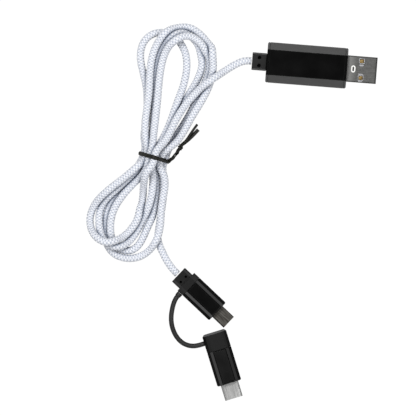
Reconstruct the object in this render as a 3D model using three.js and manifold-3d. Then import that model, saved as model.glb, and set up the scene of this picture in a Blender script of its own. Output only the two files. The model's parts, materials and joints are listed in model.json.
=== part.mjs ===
// Charging cable with an inline power meter: a USB-A plug in a faceted meter housing, a braided
// cord folded into a tied hank, a micro-USB plug, and a USB-C adapter on a rubber tether.
// Millimetres, +Z up. The origin is under the middle of the meter, and +X points out of the
// USB-A plug.
import * as THREE from "three";
import { mergeVertices } from "three/addons/utils/BufferGeometryUtils.js";
import Module from "manifold-3d";

// ---- clearances ----
const SEAM = 0.1; // between pieces that butt or slide together
const FIT = 0.2; // around an inlay in its pocket
const GAP = 0.3; // where a cord meets a face
const OVERCUT = 1; // how far a cutter runs past the face it opens

// ---- meter housing ----
const METER_LENGTH = 36.75;
const METER_WIDTH = 18.4;
const METER_HEIGHT = 10.4;
const METER_FLAT = 11.6; // width of the top and bottom flats
const METER_SIDE = 3.6; // height of the upright sides
const METER_WALL = 1.1;
const CAP_THICKNESS = 1.0;
const CAP_BEVEL = 0.5;
const WINDOW_THICKNESS = 1.0;

// ---- collars that hold the cord ----
const COLLAR_LENGTH = 6.65;
const COLLAR_WIDTH = 8.0;
const COLLAR_HEIGHT = 6.6;
const COLLAR_EDGE = 0.6;
const DIMPLE_DIAMETER = 1.7;
const DIMPLE_DEPTH = 0.8;
const DIMPLE_SPACING = 3.66;
const DIMPLE_SETBACK = 3.25;
const CORD_DIAMETER = 3.5;
const CORD_PLAY = 0.4; // the bore is this much wider than the cord
const CRIMP_WALL = 0.5;
const CRIMP_LENGTH = 2.2;
const WIRE_DIAMETER = 0.26 * CORD_DIAMETER; // each of the four cores
const WIRE_INSET = 0.45; // between the wires and the inside of the crimp
const WIRE_PAD_Y = [1.5, 4.5]; // pads of the upper and of the lower pair

// ---- circuit inside the meter ----
const BOARD_THICKNESS = 1.0;
const BOARD_WIDTH = 13.6;
const BOARD_LENGTH = 23.0;
const DISPLAY_LENGTH = 16.6;
const DISPLAY_SETBACK = 4.0; // from the front of the board
const DISPLAY_WIDTH = 8.0;
const DISPLAY_HEIGHT = 2.6;
const FRAME_WALL = 0.6;
const CARRIER_WIDTH = 10.0;
const CARRIER_RIB = 0.8;
const CARRIER_BASE = 0.6;
// Parts soldered under the board: name, place behind the board's front and across it, then
// length, width and height.
const UNDER_BOARD = [
  ["controller_chip", 8.5, 0, 5.0, 5.0, 0.9],
  ["voltage_regulator", 14.5, 1.8, 3.0, 2.6, 1.1],
  ["shunt_resistor", 2.6, -1.6, 3.2, 1.6, 0.7],
  ["input_capacitor", 2.8, 1.6, 2.0, 1.3, 1.2],
  ["output_capacitor", 14.2, -2.2, 2.0, 1.3, 1.2],
];

// ---- USB-A plug ----
const PLUG_LENGTH = 13.5; // in front of the housing
const PLUG_ROOT = 6.0; // inside the housing
const PLUG_WIDTH = 12.0;
const PLUG_HEIGHT = 4.5;
const PLUG_SHEET = 0.3;
const PLUG_CORNER = 0.5;
const TONGUE_THICKNESS = 1.8;
const TONGUE_RECESS = 0.8;
const CONTACT_THICKNESS = 0.2;
const CONTACT_WIDTH = 1.1;
const CONTACT_Y = [-3.5, -1.0, 1.0, 3.5];
const CONTACT_RECESS = [1.7, 2.7, 2.7, 1.7];
const CONTACT_TAIL = 3.0; // of each contact, lying on the board
const WINDOW_SIZE = 2.2;
const WINDOW_SETBACK = 7.2;
const WINDOW_SPACING = 7.5;
const RING_SETBACK = 10.7;
const RING_LENGTH = 3.4;
const RING_WIDTH = 2.1;
const RING_WALL = 0.65;
const BLOCK_LEAD = 1.6; // the rear insulator reaches this far in front of the ring

// ---- micro-USB plug ----
const MICRO_X = -35.2; // middle of the front face
const MICRO_Y = -115.0;
const MICRO_TURN = -38.9; // degrees about +Z
const MICRO_BODY = 19.8;
const MICRO_SHOULDER = 3.2;
const MICRO_WIDTH = 11.1;
const MICRO_HEIGHT = 7.4;
const MICRO_FLAT = 5.8;
const MICRO_COLLAR_LENGTH = 4.7;
const MICRO_COLLAR_WIDTH = 8.6;
const MICRO_COLLAR_HEIGHT = 5.8;
const MICRO_DIMPLE_SETBACK = 3.1;
const MICRO_DIMPLE_SPACING = 3.3;
const MICRO_DIMPLE_DIAMETER = 1.2;
const MICRO_TIP = 7.1; // shell in front of the body
const MICRO_ROOT = 5.0;
const MICRO_TIP_WIDTH = 6.85;
const MICRO_TIP_HEIGHT = 1.85;
const MICRO_TIP_EDGE = 0.5;
const MICRO_SHEET = 0.25;
const MICRO_TONGUE = 0.45; // thickness
const MICRO_TONGUE_RECESS = 0.7;
const MICRO_CONTACT_RECESS = 1.2;
const MICRO_CONTACT_TAIL = 1.5;
const HOOK_SPACING = 4.3;
const HOOK_WIDTH = 0.9;
const HOOK_LENGTH = 1.5;
const HOOK_HEIGHT = 0.65;
const HOOK_PROUD = 0.35;
const HOOK_SETBACK = 2.6;

// ---- USB-C adapter ----
const ADAPTER_X = -36.2; // middle of the socket face
const ADAPTER_Y = -124.4;
const ADAPTER_TURN = -68.4;
const ADAPTER_BODY = 24.4;
const ADAPTER_COLLAR = 8.4;
const ADAPTER_WIDTH = 11.3;
const ADAPTER_HEIGHT = 7.4;
const ADAPTER_FLAT = 6.3;
const ADAPTER_BEVEL = 0.9;
const SOCKET_WIDTH = 7.5;
const SOCKET_HEIGHT = 2.6;
const SOCKET_RECESS = 0.4;
const SOCKET_DEPTH = 5.6;
const USB_C_LENGTH = 7.2;
const USB_C_ROOT = 4.0;
const USB_C_WIDTH = 8.25;
const USB_C_HEIGHT = 2.4;
const SOCKET_CORNER = 0.5;
const SOCKET_TONGUE_WIDTH = 3.5;
const SOCKET_TONGUE_RECESS = 1.0; // behind the edge of the socket shell
const SOCKET_TONGUE = [-0.1, 0.5]; // its faces, from the middle height
const SOCKET_CONTACTS = [-0.27, -0.15];
const SOCKET_CONTACT_RECESS = 1.3;
const SOCKET_TAIL = 1.2; // of the tongue behind the shell, and twice this of the contacts
const ADAPTER_BOARD_GAP = 2.6; // behind the socket shell
const USB_C_SHEET = 0.25;
const USB_C_LINER = 0.275; // thickness
const USB_C_LINER_RECESS = 0.6;
const USB_C_CONTACT_RECESS = 1.4;

// ---- both small housings ----
const FACET_RUN = 1.3; // the shallow facet beside each flat
const FACET_DROP = 0.75;
const SIDE_DROP = 2.2; // where the steep facet meets the upright side
const HOUSING_WALL = 1.2;
const HOUSING_BEVEL = 0.4;
const INLAY_MARGIN = 0.25; // housing left showing beside a face panel
const INLAY_THICKNESS = 0.5;
const SMALL_BOARD = 0.8;
// The row of contacts in a small connector.
const MICRO_PINS = 5;
const MICRO_PITCH = 0.65;
const USB_C_PINS = 6;
const USB_C_PITCH = 0.9;
const PIN_WIDTH = 0.35;
const PIN_THICKNESS = 0.12;

// ---- tether ----
const TETHER_DIAMETER = 2.2;
const TETHER_SEAT = 1.7; // from the rear of the micro-USB body
const TETHER_REST = 3.8; // from the socket face of the adapter
const TETHER_BREAK = 1.4; // room at the bend for the swing
const TETHER_ROUTE = [
  [-55.6, -112.4],
  [-56.2, -119.4],
  [-54.6, -125.6],
];
const TETHER_RETURN = [
  [-51.0, -129.9],
  [-45.9, -131.8],
];

// ---- free cord ----
const LEAD_END = [-42.0, -6.7, 6.9];
// Points of the lead, as shares of the way from the meter's collar to its end: along X, across,
// and up.
const LEAD_BOW = [[0.24, 0.03, 0.06], [0.47, 0.22, 0.24], [0.74, 0.58, 0.59], [1, 1, 1]];
const TAIL_ROUTE = [
  [-62.3, -89.9, 1.8],
  [-60.2, -93.4, 2.1],
  [-57.8, -96.4, 3.0],
];
const HANK_HEIGHT = 12.0;
const HANK_OUTLINE = [
  [-43.7, -6.2], [-46.0, -14.5], [-52.9, -29.2], [-59.4, -41.5], [-61.6, -50.5], [-60.9, -60.0],
  [-60.8, -70.0], [-61.8, -80.0], [-64.2, -88.2], [-70.0, -94.0], [-78.4, -96.0], [-88.0, -91.6],
  [-96.6, -86.0], [-98.6, -76.0], [-93.0, -65.2], [-82.5, -55.2], [-77.4, -46.6], [-78.6, -30.0],
  [-81.4, -14.0], [-80.8, -1.0], [-77.0, 8.6], [-70.0, 11.6], [-59.5, 16.0], [-50.0, 11.4],
  [-44.4, 2.6],
];
const TIE_WIDTH = 1.6;
const TIE_THICKNESS = 0.5;
const TIE_LEFT = [-78.5, -45.2];
const TIE_RIGHT = [-60.1, -49.4];
const TIE_TAIL = [
  [-59.0, -45.6, 6.0],
  [-56.6, -40.0, 3.4],
  [-50.4, -31.4, 1.6],
];

// ---- materials ----
const finish = (color, roughness, metalness) =>
  new THREE.MeshStandardMaterial({ color, roughness, metalness });
const housingBlack = finish(0x3c3d3f, 0.38, 0.7);
const smokedWindow = finish(0x0b0b0c, 0.12, 0.0);
const matteBlack = finish(0x2b2b28, 0.7, 0.0);
const nickel = finish(0x8a8986, 0.35, 1.0);
const brightSteel = finish(0xc4c4c2, 0.28, 1.0);
const gold = finish(0xc79a3c, 0.3, 1.0);
const paleNylon = finish(0xe6e6e2, 0.55, 0.0);
const blackNylon = finish(0x1a1a1b, 0.5, 0.0);
const boardGreen = finish(0x1f5a35, 0.5, 0.0);
const chipBlack = finish(0x161617, 0.45, 0.0);
const ceramic = finish(0x9a7f5c, 0.5, 0.0);
const displayFace = finish(0x202226, 0.4, 0.0);
const copper = finish(0xb56a3a, 0.4, 1.0);
const braid = finish(0xdfe2ea, 0.85, 0.0);
const rubber = finish(0x1b1b1c, 0.6, 0.0);
const tieBlack = finish(0x23231c, 0.5, 0.0);
const wireColours = [0xb2261f, 0xe8e6df, 0x2c8a3f, 0x161616].map((c) => finish(c, 0.5, 0.0));

// ---- solids ----
const wasm = await Module();
wasm.setup();

function toSolid(geometry) {
  const bare = geometry.clone();
  bare.deleteAttribute("normal");
  bare.deleteAttribute("uv");
  const merged = mergeVertices(bare, 1e-5);
  const mesh = new wasm.Mesh({
    numProp: 3,
    vertProperties: new Float32Array(merged.attributes.position.array),
    triVerts: new Uint32Array(merged.index.array),
  });
  return new wasm.Manifold(mesh);
}

function toGeometry(solid) {
  const { vertProperties, triVerts } = solid.getMesh();
  const geometry = new THREE.BufferGeometry();
  geometry.setAttribute("position", new THREE.BufferAttribute(vertProperties, 3));
  geometry.setIndex(new THREE.BufferAttribute(triVerts, 1));
  geometry.computeVertexNormals();
  return geometry;
}

function cut(geometry, ...cutters) {
  return toGeometry(cutters.reduce((left, c) => left.subtract(toSolid(c)), toSolid(geometry)));
}

function join(first, second) {
  return toGeometry(toSolid(first).add(toSolid(second)));
}

// A block between two limits on each axis.
function block([x0, x1], [y0, y1], [z0, z1]) {
  const geometry = new THREE.BoxGeometry(x1 - x0, y1 - y0, z1 - z0);
  return geometry.translate((x0 + x1) / 2, (y0 + y1) / 2, (z0 + z1) / 2);
}

// Outlines are lists of [y, z], anticlockwise seen from +X, around the plug's own axis.
const lift = (outline, z) => outline.map(([y, up]) => [y, up + z]);
const scaled = (outline, sy, sz) => outline.map(([y, z]) => [y * sy, z * sz]);

// Mirrors a quarter outline, given from the top flat down to the side, into the whole outline.
function mirrored(quarter) {
  const up = [...quarter].reverse();
  const left = quarter.map(([y, z]) => [-y, z]);
  return [
    ...quarter.map(([y, z]) => [y, -z]),
    ...up,
    ...left,
    ...up.map(([y, z]) => [-y, -z]),
  ];
}

const octagon = (width, height, flat, side) =>
  mirrored([[flat / 2, height / 2], [width / 2, side / 2]]);

const bevelledBox = (width, height, edge) =>
  octagon(width, height, width - 2 * edge, height - 2 * edge);

const smallHousing = (width, height, flat) =>
  mirrored([
    [flat / 2, height / 2],
    [flat / 2 + FACET_RUN, height / 2 - FACET_DROP],
    [width / 2, height / 2 - SIDE_DROP],
  ]);

// A rectangle with round corners, each an arc of a few steps.
function roundedBox(width, height, radius, steps = 3) {
  const quarter = [];
  for (let i = 0; i <= steps; i += 1) {
    const angle = (Math.PI / 2) * (1 - i / steps);
    quarter.push([
      width / 2 - radius + radius * Math.cos(angle),
      height / 2 - radius + radius * Math.sin(angle),
    ]);
  }
  return mirrored(quarter);
}

function circle(diameter, sides = 12) {
  const points = [];
  for (let i = 0; i < sides; i += 1) {
    const angle = (2 * Math.PI * (i + 0.5)) / sides;
    points.push([(diameter / 2) * Math.cos(angle), (diameter / 2) * Math.sin(angle)]);
  }
  return points;
}

// Skins a run of rings { x, outline } with equal point counts. A sleeve closes its last ring
// onto its first, and any other run is capped at both ends.
function skin(rings, sleeve = false) {
  const count = rings[0].outline.length;
  const positions = rings.flatMap(({ x, outline }) => outline.flatMap(([y, z]) => [x, y, z]));
  const faces = [];
  const spans = sleeve ? rings.length : rings.length - 1;
  for (let span = 0; span < spans; span += 1) {
    const a = span * count;
    const b = ((span + 1) % rings.length) * count;
    for (let i = 0; i < count; i += 1) {
      const j = (i + 1) % count;
      faces.push(a + i, a + j, b + j, a + i, b + j, b + i);
    }
  }
  if (!sleeve) {
    const last = spans * count;
    for (let i = 1; i < count - 1; i += 1) {
      faces.push(0, i + 1, i, last, last + i, last + i + 1);
    }
  }
  const geometry = new THREE.BufferGeometry();
  geometry.setAttribute("position", new THREE.Float32BufferAttribute(positions, 3));
  geometry.setIndex(faces);
  geometry.computeVertexNormals();
  return geometry;
}

const bar = (outline, x0, x1) => skin([{ x: x0, outline }, { x: x1, outline }]);

const sleeve = (outer, inner, x0, x1) =>
  skin(
    [
      { x: x0, outline: outer },
      { x: x1, outline: outer },
      { x: x1, outline: inner },
      { x: x0, outline: inner },
    ],
    true,
  );

// Extrudes any closed outline of [y, z] from x0 to x1.
function profile(outline, x0, x1) {
  const shape = new THREE.Shape(outline.map(([y, z]) => new THREE.Vector2(y, z)));
  const geometry = new THREE.ExtrudeGeometry(shape, { depth: x1 - x0, bevelEnabled: false });
  const turn = new THREE.Matrix4().set(0, 0, 1, x0, 1, 0, 0, 0, 0, 1, 0, 0, 0, 0, 0, 1);
  return geometry.applyMatrix4(turn);
}

// An upright round cutter.
const drill = (x, y, z0, z1, diameter) =>
  new THREE.CylinderGeometry(diameter / 2, diameter / 2, z1 - z0, 12)
    .rotateX(Math.PI / 2)
    .translate(x, y, (z0 + z1) / 2);

// Flat fingers joined by a bar at their rear, as a row of stamped contacts is on its carrier.
function comb(fingers, pitch, x0, x1, z0, z1) {
  const half = ((fingers - 1) * pitch + PIN_WIDTH) / 2;
  const shape = new THREE.Shape();
  shape.moveTo(x0, -half);
  for (let i = 0; i < fingers; i += 1) {
    const y = (i - (fingers - 1) / 2) * pitch;
    shape.lineTo(x1, y - PIN_WIDTH / 2);
    shape.lineTo(x1, y + PIN_WIDTH / 2);
    if (i < fingers - 1) {
      shape.lineTo(x0 + PIN_WIDTH, y + PIN_WIDTH / 2);
      shape.lineTo(x0 + PIN_WIDTH, y + pitch - PIN_WIDTH / 2);
    }
  }
  shape.lineTo(x0, half);
  const geometry = new THREE.ExtrudeGeometry(shape, { depth: z1 - z0, bevelEnabled: false });
  return geometry.translate(0, 0, z0);
}

// A tube of round or flat section along a smooth line through points.
function tube(points, steps, section) {
  const path = new THREE.CatmullRomCurve3(
    points.map((p) => new THREE.Vector3(...p)),
    false,
    "centripetal",
  );
  return new THREE.ExtrudeGeometry(section, { extrudePath: path, steps, bevelEnabled: false });
}

const roundSection = (diameter, sides) =>
  new THREE.Shape(circle(diameter, sides).map(([a, b]) => new THREE.Vector2(a, b)));

const assembly = new THREE.Group();

function place(group, name, geometry, material) {
  const mesh = new THREE.Mesh(geometry, material);
  mesh.name = name;
  group.add(mesh);
}

// ---- where the meter's pieces stand ----
const axisZ = METER_HEIGHT / 2;
const rearX = -(COLLAR_LENGTH + METER_LENGTH + PLUG_LENGTH) / 2;
const housingRear = rearX + COLLAR_LENGTH;
const housingFront = housingRear + METER_LENGTH;
const tipX = housingFront + PLUG_LENGTH;
const insideRear = housingRear + CAP_THICKNESS + SEAM;
const insideFront = housingFront - CAP_THICKNESS - SEAM;

const meterOutline = lift(octagon(METER_WIDTH, METER_HEIGHT, METER_FLAT, METER_SIDE), axisZ);

function meterCap(rear, hole) {
  const small = lift(
    octagon(
      METER_WIDTH - 2 * CAP_BEVEL,
      METER_HEIGHT - 2 * CAP_BEVEL,
      METER_FLAT - CAP_BEVEL,
      METER_SIDE - CAP_BEVEL,
    ),
    axisZ,
  );
  const outer = rear ? housingRear : housingFront;
  const inner = rear ? housingRear + CAP_THICKNESS : housingFront - CAP_THICKNESS;
  const step = rear ? CAP_BEVEL : -CAP_BEVEL;
  const rings = [
    { x: outer, outline: small },
    { x: outer + step, outline: meterOutline },
    { x: inner, outline: meterOutline },
  ];
  const [x0, x1] = [Math.min(outer, inner) - OVERCUT, Math.max(outer, inner) + OVERCUT];
  return cut(skin(rear ? rings : rings.reverse()), bar(lift(hole, axisZ), x0, x1));
}

function meterShell() {
  const shrink = 2 * METER_WALL * Math.tan(Math.PI / 8);
  const inside = lift(
    octagon(
      METER_WIDTH - 2 * METER_WALL,
      METER_HEIGHT - 2 * METER_WALL,
      METER_FLAT - shrink,
      METER_SIDE - shrink,
    ),
    axisZ,
  );
  // The lips stand upright beside the window, down to the inside of the sloping wall.
  const [sideY, sideZ] = inside[2];
  const [flatY, flatZ] = inside[3];
  const lipY = METER_FLAT / 2;
  const lipZ = flatZ + ((lipY - flatY) * (sideZ - flatZ)) / (sideY - flatY);
  const [p1, p2, p3, p4, p5, p6, p7, p8] = meterOutline;
  const [i1, i2, i3, , , i6, i7, i8] = inside;
  const outline = [
    p5, p6, p7, p8, p1, p2, p3, p4,
    [lipY, lipZ], i3, i2, i1, i8, i7, i6, [-lipY, lipZ],
  ];
  return profile(outline, insideRear, insideFront);
}

// A cord collar: bevelled block, cord bore along X and two blind dimples top and bottom.
function collarBlock(x0, x1, width, height, z, dimples) {
  const outline = lift(bevelledBox(width, height, COLLAR_EDGE), z);
  const cutters = [bar(lift(circle(CORD_DIAMETER + CORD_PLAY), z), x0 - OVERCUT, x1 + OVERCUT)];
  for (const side of [-1, 1]) {
    const y = (side * dimples.spacing) / 2;
    const top = z + height / 2;
    const bottom = z - height / 2;
    const x = x0 + dimples.setback;
    cutters.push(drill(x, y, top - DIMPLE_DEPTH, top + OVERCUT, dimples.diameter));
    cutters.push(drill(x, y, bottom - OVERCUT, bottom + DIMPLE_DEPTH, dimples.diameter));
  }
  return { body: bar(outline, x0, x1), cutters };
}

function addMeterHousing() {
  const bore = circle(CORD_DIAMETER + CORD_PLAY);
  const plugHole = roundedBox(PLUG_WIDTH + 2 * SEAM, PLUG_HEIGHT + 2 * SEAM, PLUG_CORNER);
  place(assembly, "meter_shell", meterShell(), housingBlack);
  place(assembly, "rear_cap", meterCap(true, bore), housingBlack);
  place(assembly, "front_cap", meterCap(false, plugHole), housingBlack);
  const windowTop = METER_HEIGHT - SEAM;
  const halfWindow = METER_FLAT / 2 - SEAM;
  place(
    assembly,
    "display_window",
    block(
      [insideRear, insideFront],
      [-halfWindow, halfWindow],
      [windowTop - WINDOW_THICKNESS, windowTop],
    ),
    smokedWindow,
  );
  const dimples = {
    spacing: DIMPLE_SPACING,
    setback: DIMPLE_SETBACK,
    diameter: DIMPLE_DIAMETER,
  };
  const front = housingRear - SEAM;
  const { body, cutters } = collarBlock(
    rearX, front, COLLAR_WIDTH, COLLAR_HEIGHT, axisZ, dimples,
  );
  place(assembly, "rear_collar", cut(body, ...cutters), matteBlack);
  place(
    assembly,
    "cord_crimp",
    sleeve(
      lift(circle(CORD_DIAMETER + 2 * CRIMP_WALL), axisZ),
      lift(circle(CORD_DIAMETER), axisZ),
      insideRear,
      insideRear + CRIMP_LENGTH,
    ),
    copper,
  );
}

// ---- the USB-A plug ----
const plugRear = housingFront - PLUG_ROOT;
const shellInsideZ = axisZ - PLUG_HEIGHT / 2 + PLUG_SHEET;
const tongueTop = shellInsideZ + SEAM + TONGUE_THICKNESS;
const contactBottom = tongueTop + SEAM / 2;
const boardTop = tongueTop;
const boardBottom = boardTop - BOARD_THICKNESS;
const boardFront = plugRear - SEAM;
const boardRear = boardFront - BOARD_LENGTH;

function addPlug() {
  const outer = lift(roundedBox(PLUG_WIDTH, PLUG_HEIGHT, PLUG_CORNER), axisZ);
  const inner = lift(
    roundedBox(
      PLUG_WIDTH - 2 * PLUG_SHEET,
      PLUG_HEIGHT - 2 * PLUG_SHEET,
      PLUG_CORNER - PLUG_SHEET / 2,
    ),
    axisZ,
  );
  const roof = axisZ + PLUG_HEIGHT / 2;
  const windowX = tipX - WINDOW_SETBACK;
  const openings = [];
  for (const side of [-1, 1]) {
    const y = (side * WINDOW_SPACING) / 2;
    openings.push(
      block(
        [windowX - WINDOW_SIZE / 2, windowX + WINDOW_SIZE / 2],
        [y - WINDOW_SIZE / 2, y + WINDOW_SIZE / 2],
        [axisZ - PLUG_HEIGHT / 2 - OVERCUT, roof + OVERCUT],
      ),
    );
  }
  const ringX = tipX - RING_SETBACK;
  const slot = oval(RING_WIDTH + SEAM, RING_LENGTH + SEAM, roof - PLUG_SHEET - SEAM, roof + OVERCUT);
  openings.push(slot.translate(ringX, 0, 0));
  const shell = cut(sleeve(outer, inner, plugRear, tipX), ...openings);
  place(assembly, "usb_a_shell", shell, nickel);

  const halfInside = PLUG_WIDTH / 2 - PLUG_SHEET - SEAM;
  place(
    assembly,
    "usb_a_tongue",
    block(
      [plugRear, tipX - TONGUE_RECESS],
      [-halfInside, halfInside],
      [shellInsideZ + SEAM, tongueTop],
    ),
    blackNylon,
  );
  CONTACT_Y.forEach((y, i) => {
    place(
      assembly,
      `usb_a_contact_${i + 1}`,
      block(
        [boardFront - CONTACT_TAIL, tipX - CONTACT_RECESS[i]],
        [y - CONTACT_WIDTH / 2, y + CONTACT_WIDTH / 2],
        [contactBottom, contactBottom + CONTACT_THICKNESS],
      ),
      gold,
    );
  });
  const blockTop = roof - PLUG_SHEET - SEAM;
  place(
    assembly,
    "usb_a_insulator",
    block(
      [plugRear, ringX + BLOCK_LEAD],
      [-halfInside, halfInside],
      [contactBottom + CONTACT_THICKNESS + SEAM, blockTop],
    ),
    blackNylon,
  );
  const hole = oval(
    RING_WIDTH - 2 * RING_WALL,
    RING_LENGTH - 2 * RING_WALL,
    blockTop - OVERCUT,
    roof + OVERCUT,
  );
  const ring = cut(oval(RING_WIDTH - SEAM, RING_LENGTH - SEAM, blockTop + SEAM / 2, roof), hole);
  place(assembly, "shell_keeper_ring", ring.translate(ringX, 0, 0), paleNylon);
}

// An upright stadium, long across the plug.
function oval(width, length, z0, z1) {
  const outline = roundedBox(width, length, width / 2 - SEAM / 10, 4);
  const shape = new THREE.Shape(outline.map(([x, y]) => new THREE.Vector2(x, y)));
  const geometry = new THREE.ExtrudeGeometry(shape, { depth: z1 - z0, bevelEnabled: false });
  return geometry.translate(0, 0, z0);
}

// ---- the circuit under the window ----
function addCircuit() {
  const half = BOARD_WIDTH / 2;
  place(
    assembly,
    "main_board",
    block([boardRear, boardFront], [-half, half], [boardBottom, boardTop]),
    boardGreen,
  );
  const displayX = boardFront - DISPLAY_SETBACK - DISPLAY_LENGTH / 2;
  const displayEnds = [displayX - DISPLAY_LENGTH / 2, displayX + DISPLAY_LENGTH / 2];
  const seat = boardTop + SEAM;
  place(
    assembly,
    "led_display",
    block(displayEnds, [-DISPLAY_WIDTH / 2, DISPLAY_WIDTH / 2], [seat, seat + DISPLAY_HEIGHT]),
    displayFace,
  );
  const innerX = DISPLAY_LENGTH / 2 + SEAM;
  const innerY = DISPLAY_WIDTH / 2 + SEAM;
  const frameTop = METER_HEIGHT - WINDOW_THICKNESS - 2 * SEAM;
  const outside = block(
    [displayX - innerX - FRAME_WALL, displayX + innerX + FRAME_WALL],
    [-innerY - FRAME_WALL, innerY + FRAME_WALL],
    [seat, frameTop],
  );
  const inside = block(
    [displayX - innerX, displayX + innerX],
    [-innerY, innerY],
    [seat - OVERCUT, frameTop + OVERCUT],
  );
  place(assembly, "display_frame", cut(outside, inside), blackNylon);

  const hang = boardBottom - SEAM;
  for (const [name, setback, y, length, width, height] of UNDER_BOARD) {
    const x = boardFront - setback;
    place(
      assembly,
      name,
      block([x - length / 2, x + length / 2], [y - width / 2, y + width / 2], [hang - height, hang]),
      name.endsWith("capacitor") ? ceramic : chipBlack,
    );
  }
  const floor = METER_WALL + SEAM;
  const outer = CARRIER_WIDTH / 2;
  const rib = outer - CARRIER_RIB;
  const carrier = [
    [-outer, floor], [outer, floor], [outer, hang], [rib, hang],
    [rib, floor + CARRIER_BASE], [-rib, floor + CARRIER_BASE], [-rib, hang], [-outer, hang],
  ];
  place(assembly, "board_carrier", profile(carrier, boardRear, boardFront), blackNylon);

  // Four insulated cores run from the crimp to pads at the rear of the board.
  const spread = (CORD_DIAMETER / 2 - WIRE_INSET - WIRE_DIAMETER / 2) / Math.SQRT2;
  const corners = [[-1, 1], [-1, -1], [1, -1], [1, 1]];
  corners.forEach(([sideY, sideZ], i) => {
    const startX = insideRear + SEAM;
    const padY = sideY * WIRE_PAD_Y[sideZ > 0 ? 0 : 1];
    const padZ = boardTop + SEAM + WIRE_DIAMETER / 2;
    const points = [
      [startX, sideY * spread, axisZ + sideZ * spread],
      [startX + CRIMP_LENGTH / 2, sideY * spread, axisZ + sideZ * spread],
      [startX + CRIMP_LENGTH + 0.4, sideY * spread, axisZ + sideZ * spread],
      [boardRear - 0.5, padY, Math.max(padZ, axisZ + sideZ * spread)],
      [boardRear + 0.8, padY, padZ],
    ];
    const section = roundSection(WIRE_DIAMETER, 6);
    place(assembly, `core_wire_${i + 1}`, tube(points, 10, section), wireColours[i]);
  });
}

// ---- small plugs: shared pieces ----
// A housing bar from x0 to x1 with its end edges bevelled at x1.
function housingBar(outline, width, height, x0, x1, bevel) {
  const inset = scaled(outline, (width - 2 * bevel) / width, (height - 2 * bevel) / height);
  return [
    { x: x0, outline: lift(outline, height / 2) },
    { x: x1 - bevel, outline: lift(outline, height / 2) },
    { x: x1, outline: lift(inset, height / 2) },
  ];
}

// Cutters and panels for the inlays in the top and bottom flats.
function inlays(flat, height, x0, x1) {
  const half = flat / 2 - INLAY_MARGIN;
  const deep = INLAY_THICKNESS + FIT;
  const ends = [x0 + FIT, x1 - FIT];
  const sides = [-half + FIT, half - FIT];
  return {
    pockets: [
      block([x0, x1], [-half, half], [height - deep, height + OVERCUT]),
      block([x0, x1], [-half, half], [-OVERCUT, deep]),
    ],
    top: block(ends, sides, [height - INLAY_THICKNESS, height]),
    bottom: block(ends, sides, [0, INLAY_THICKNESS]),
  };
}

const microZ = MICRO_HEIGHT / 2;
const microOutline = smallHousing(MICRO_WIDTH, MICRO_HEIGHT, MICRO_FLAT);

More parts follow.
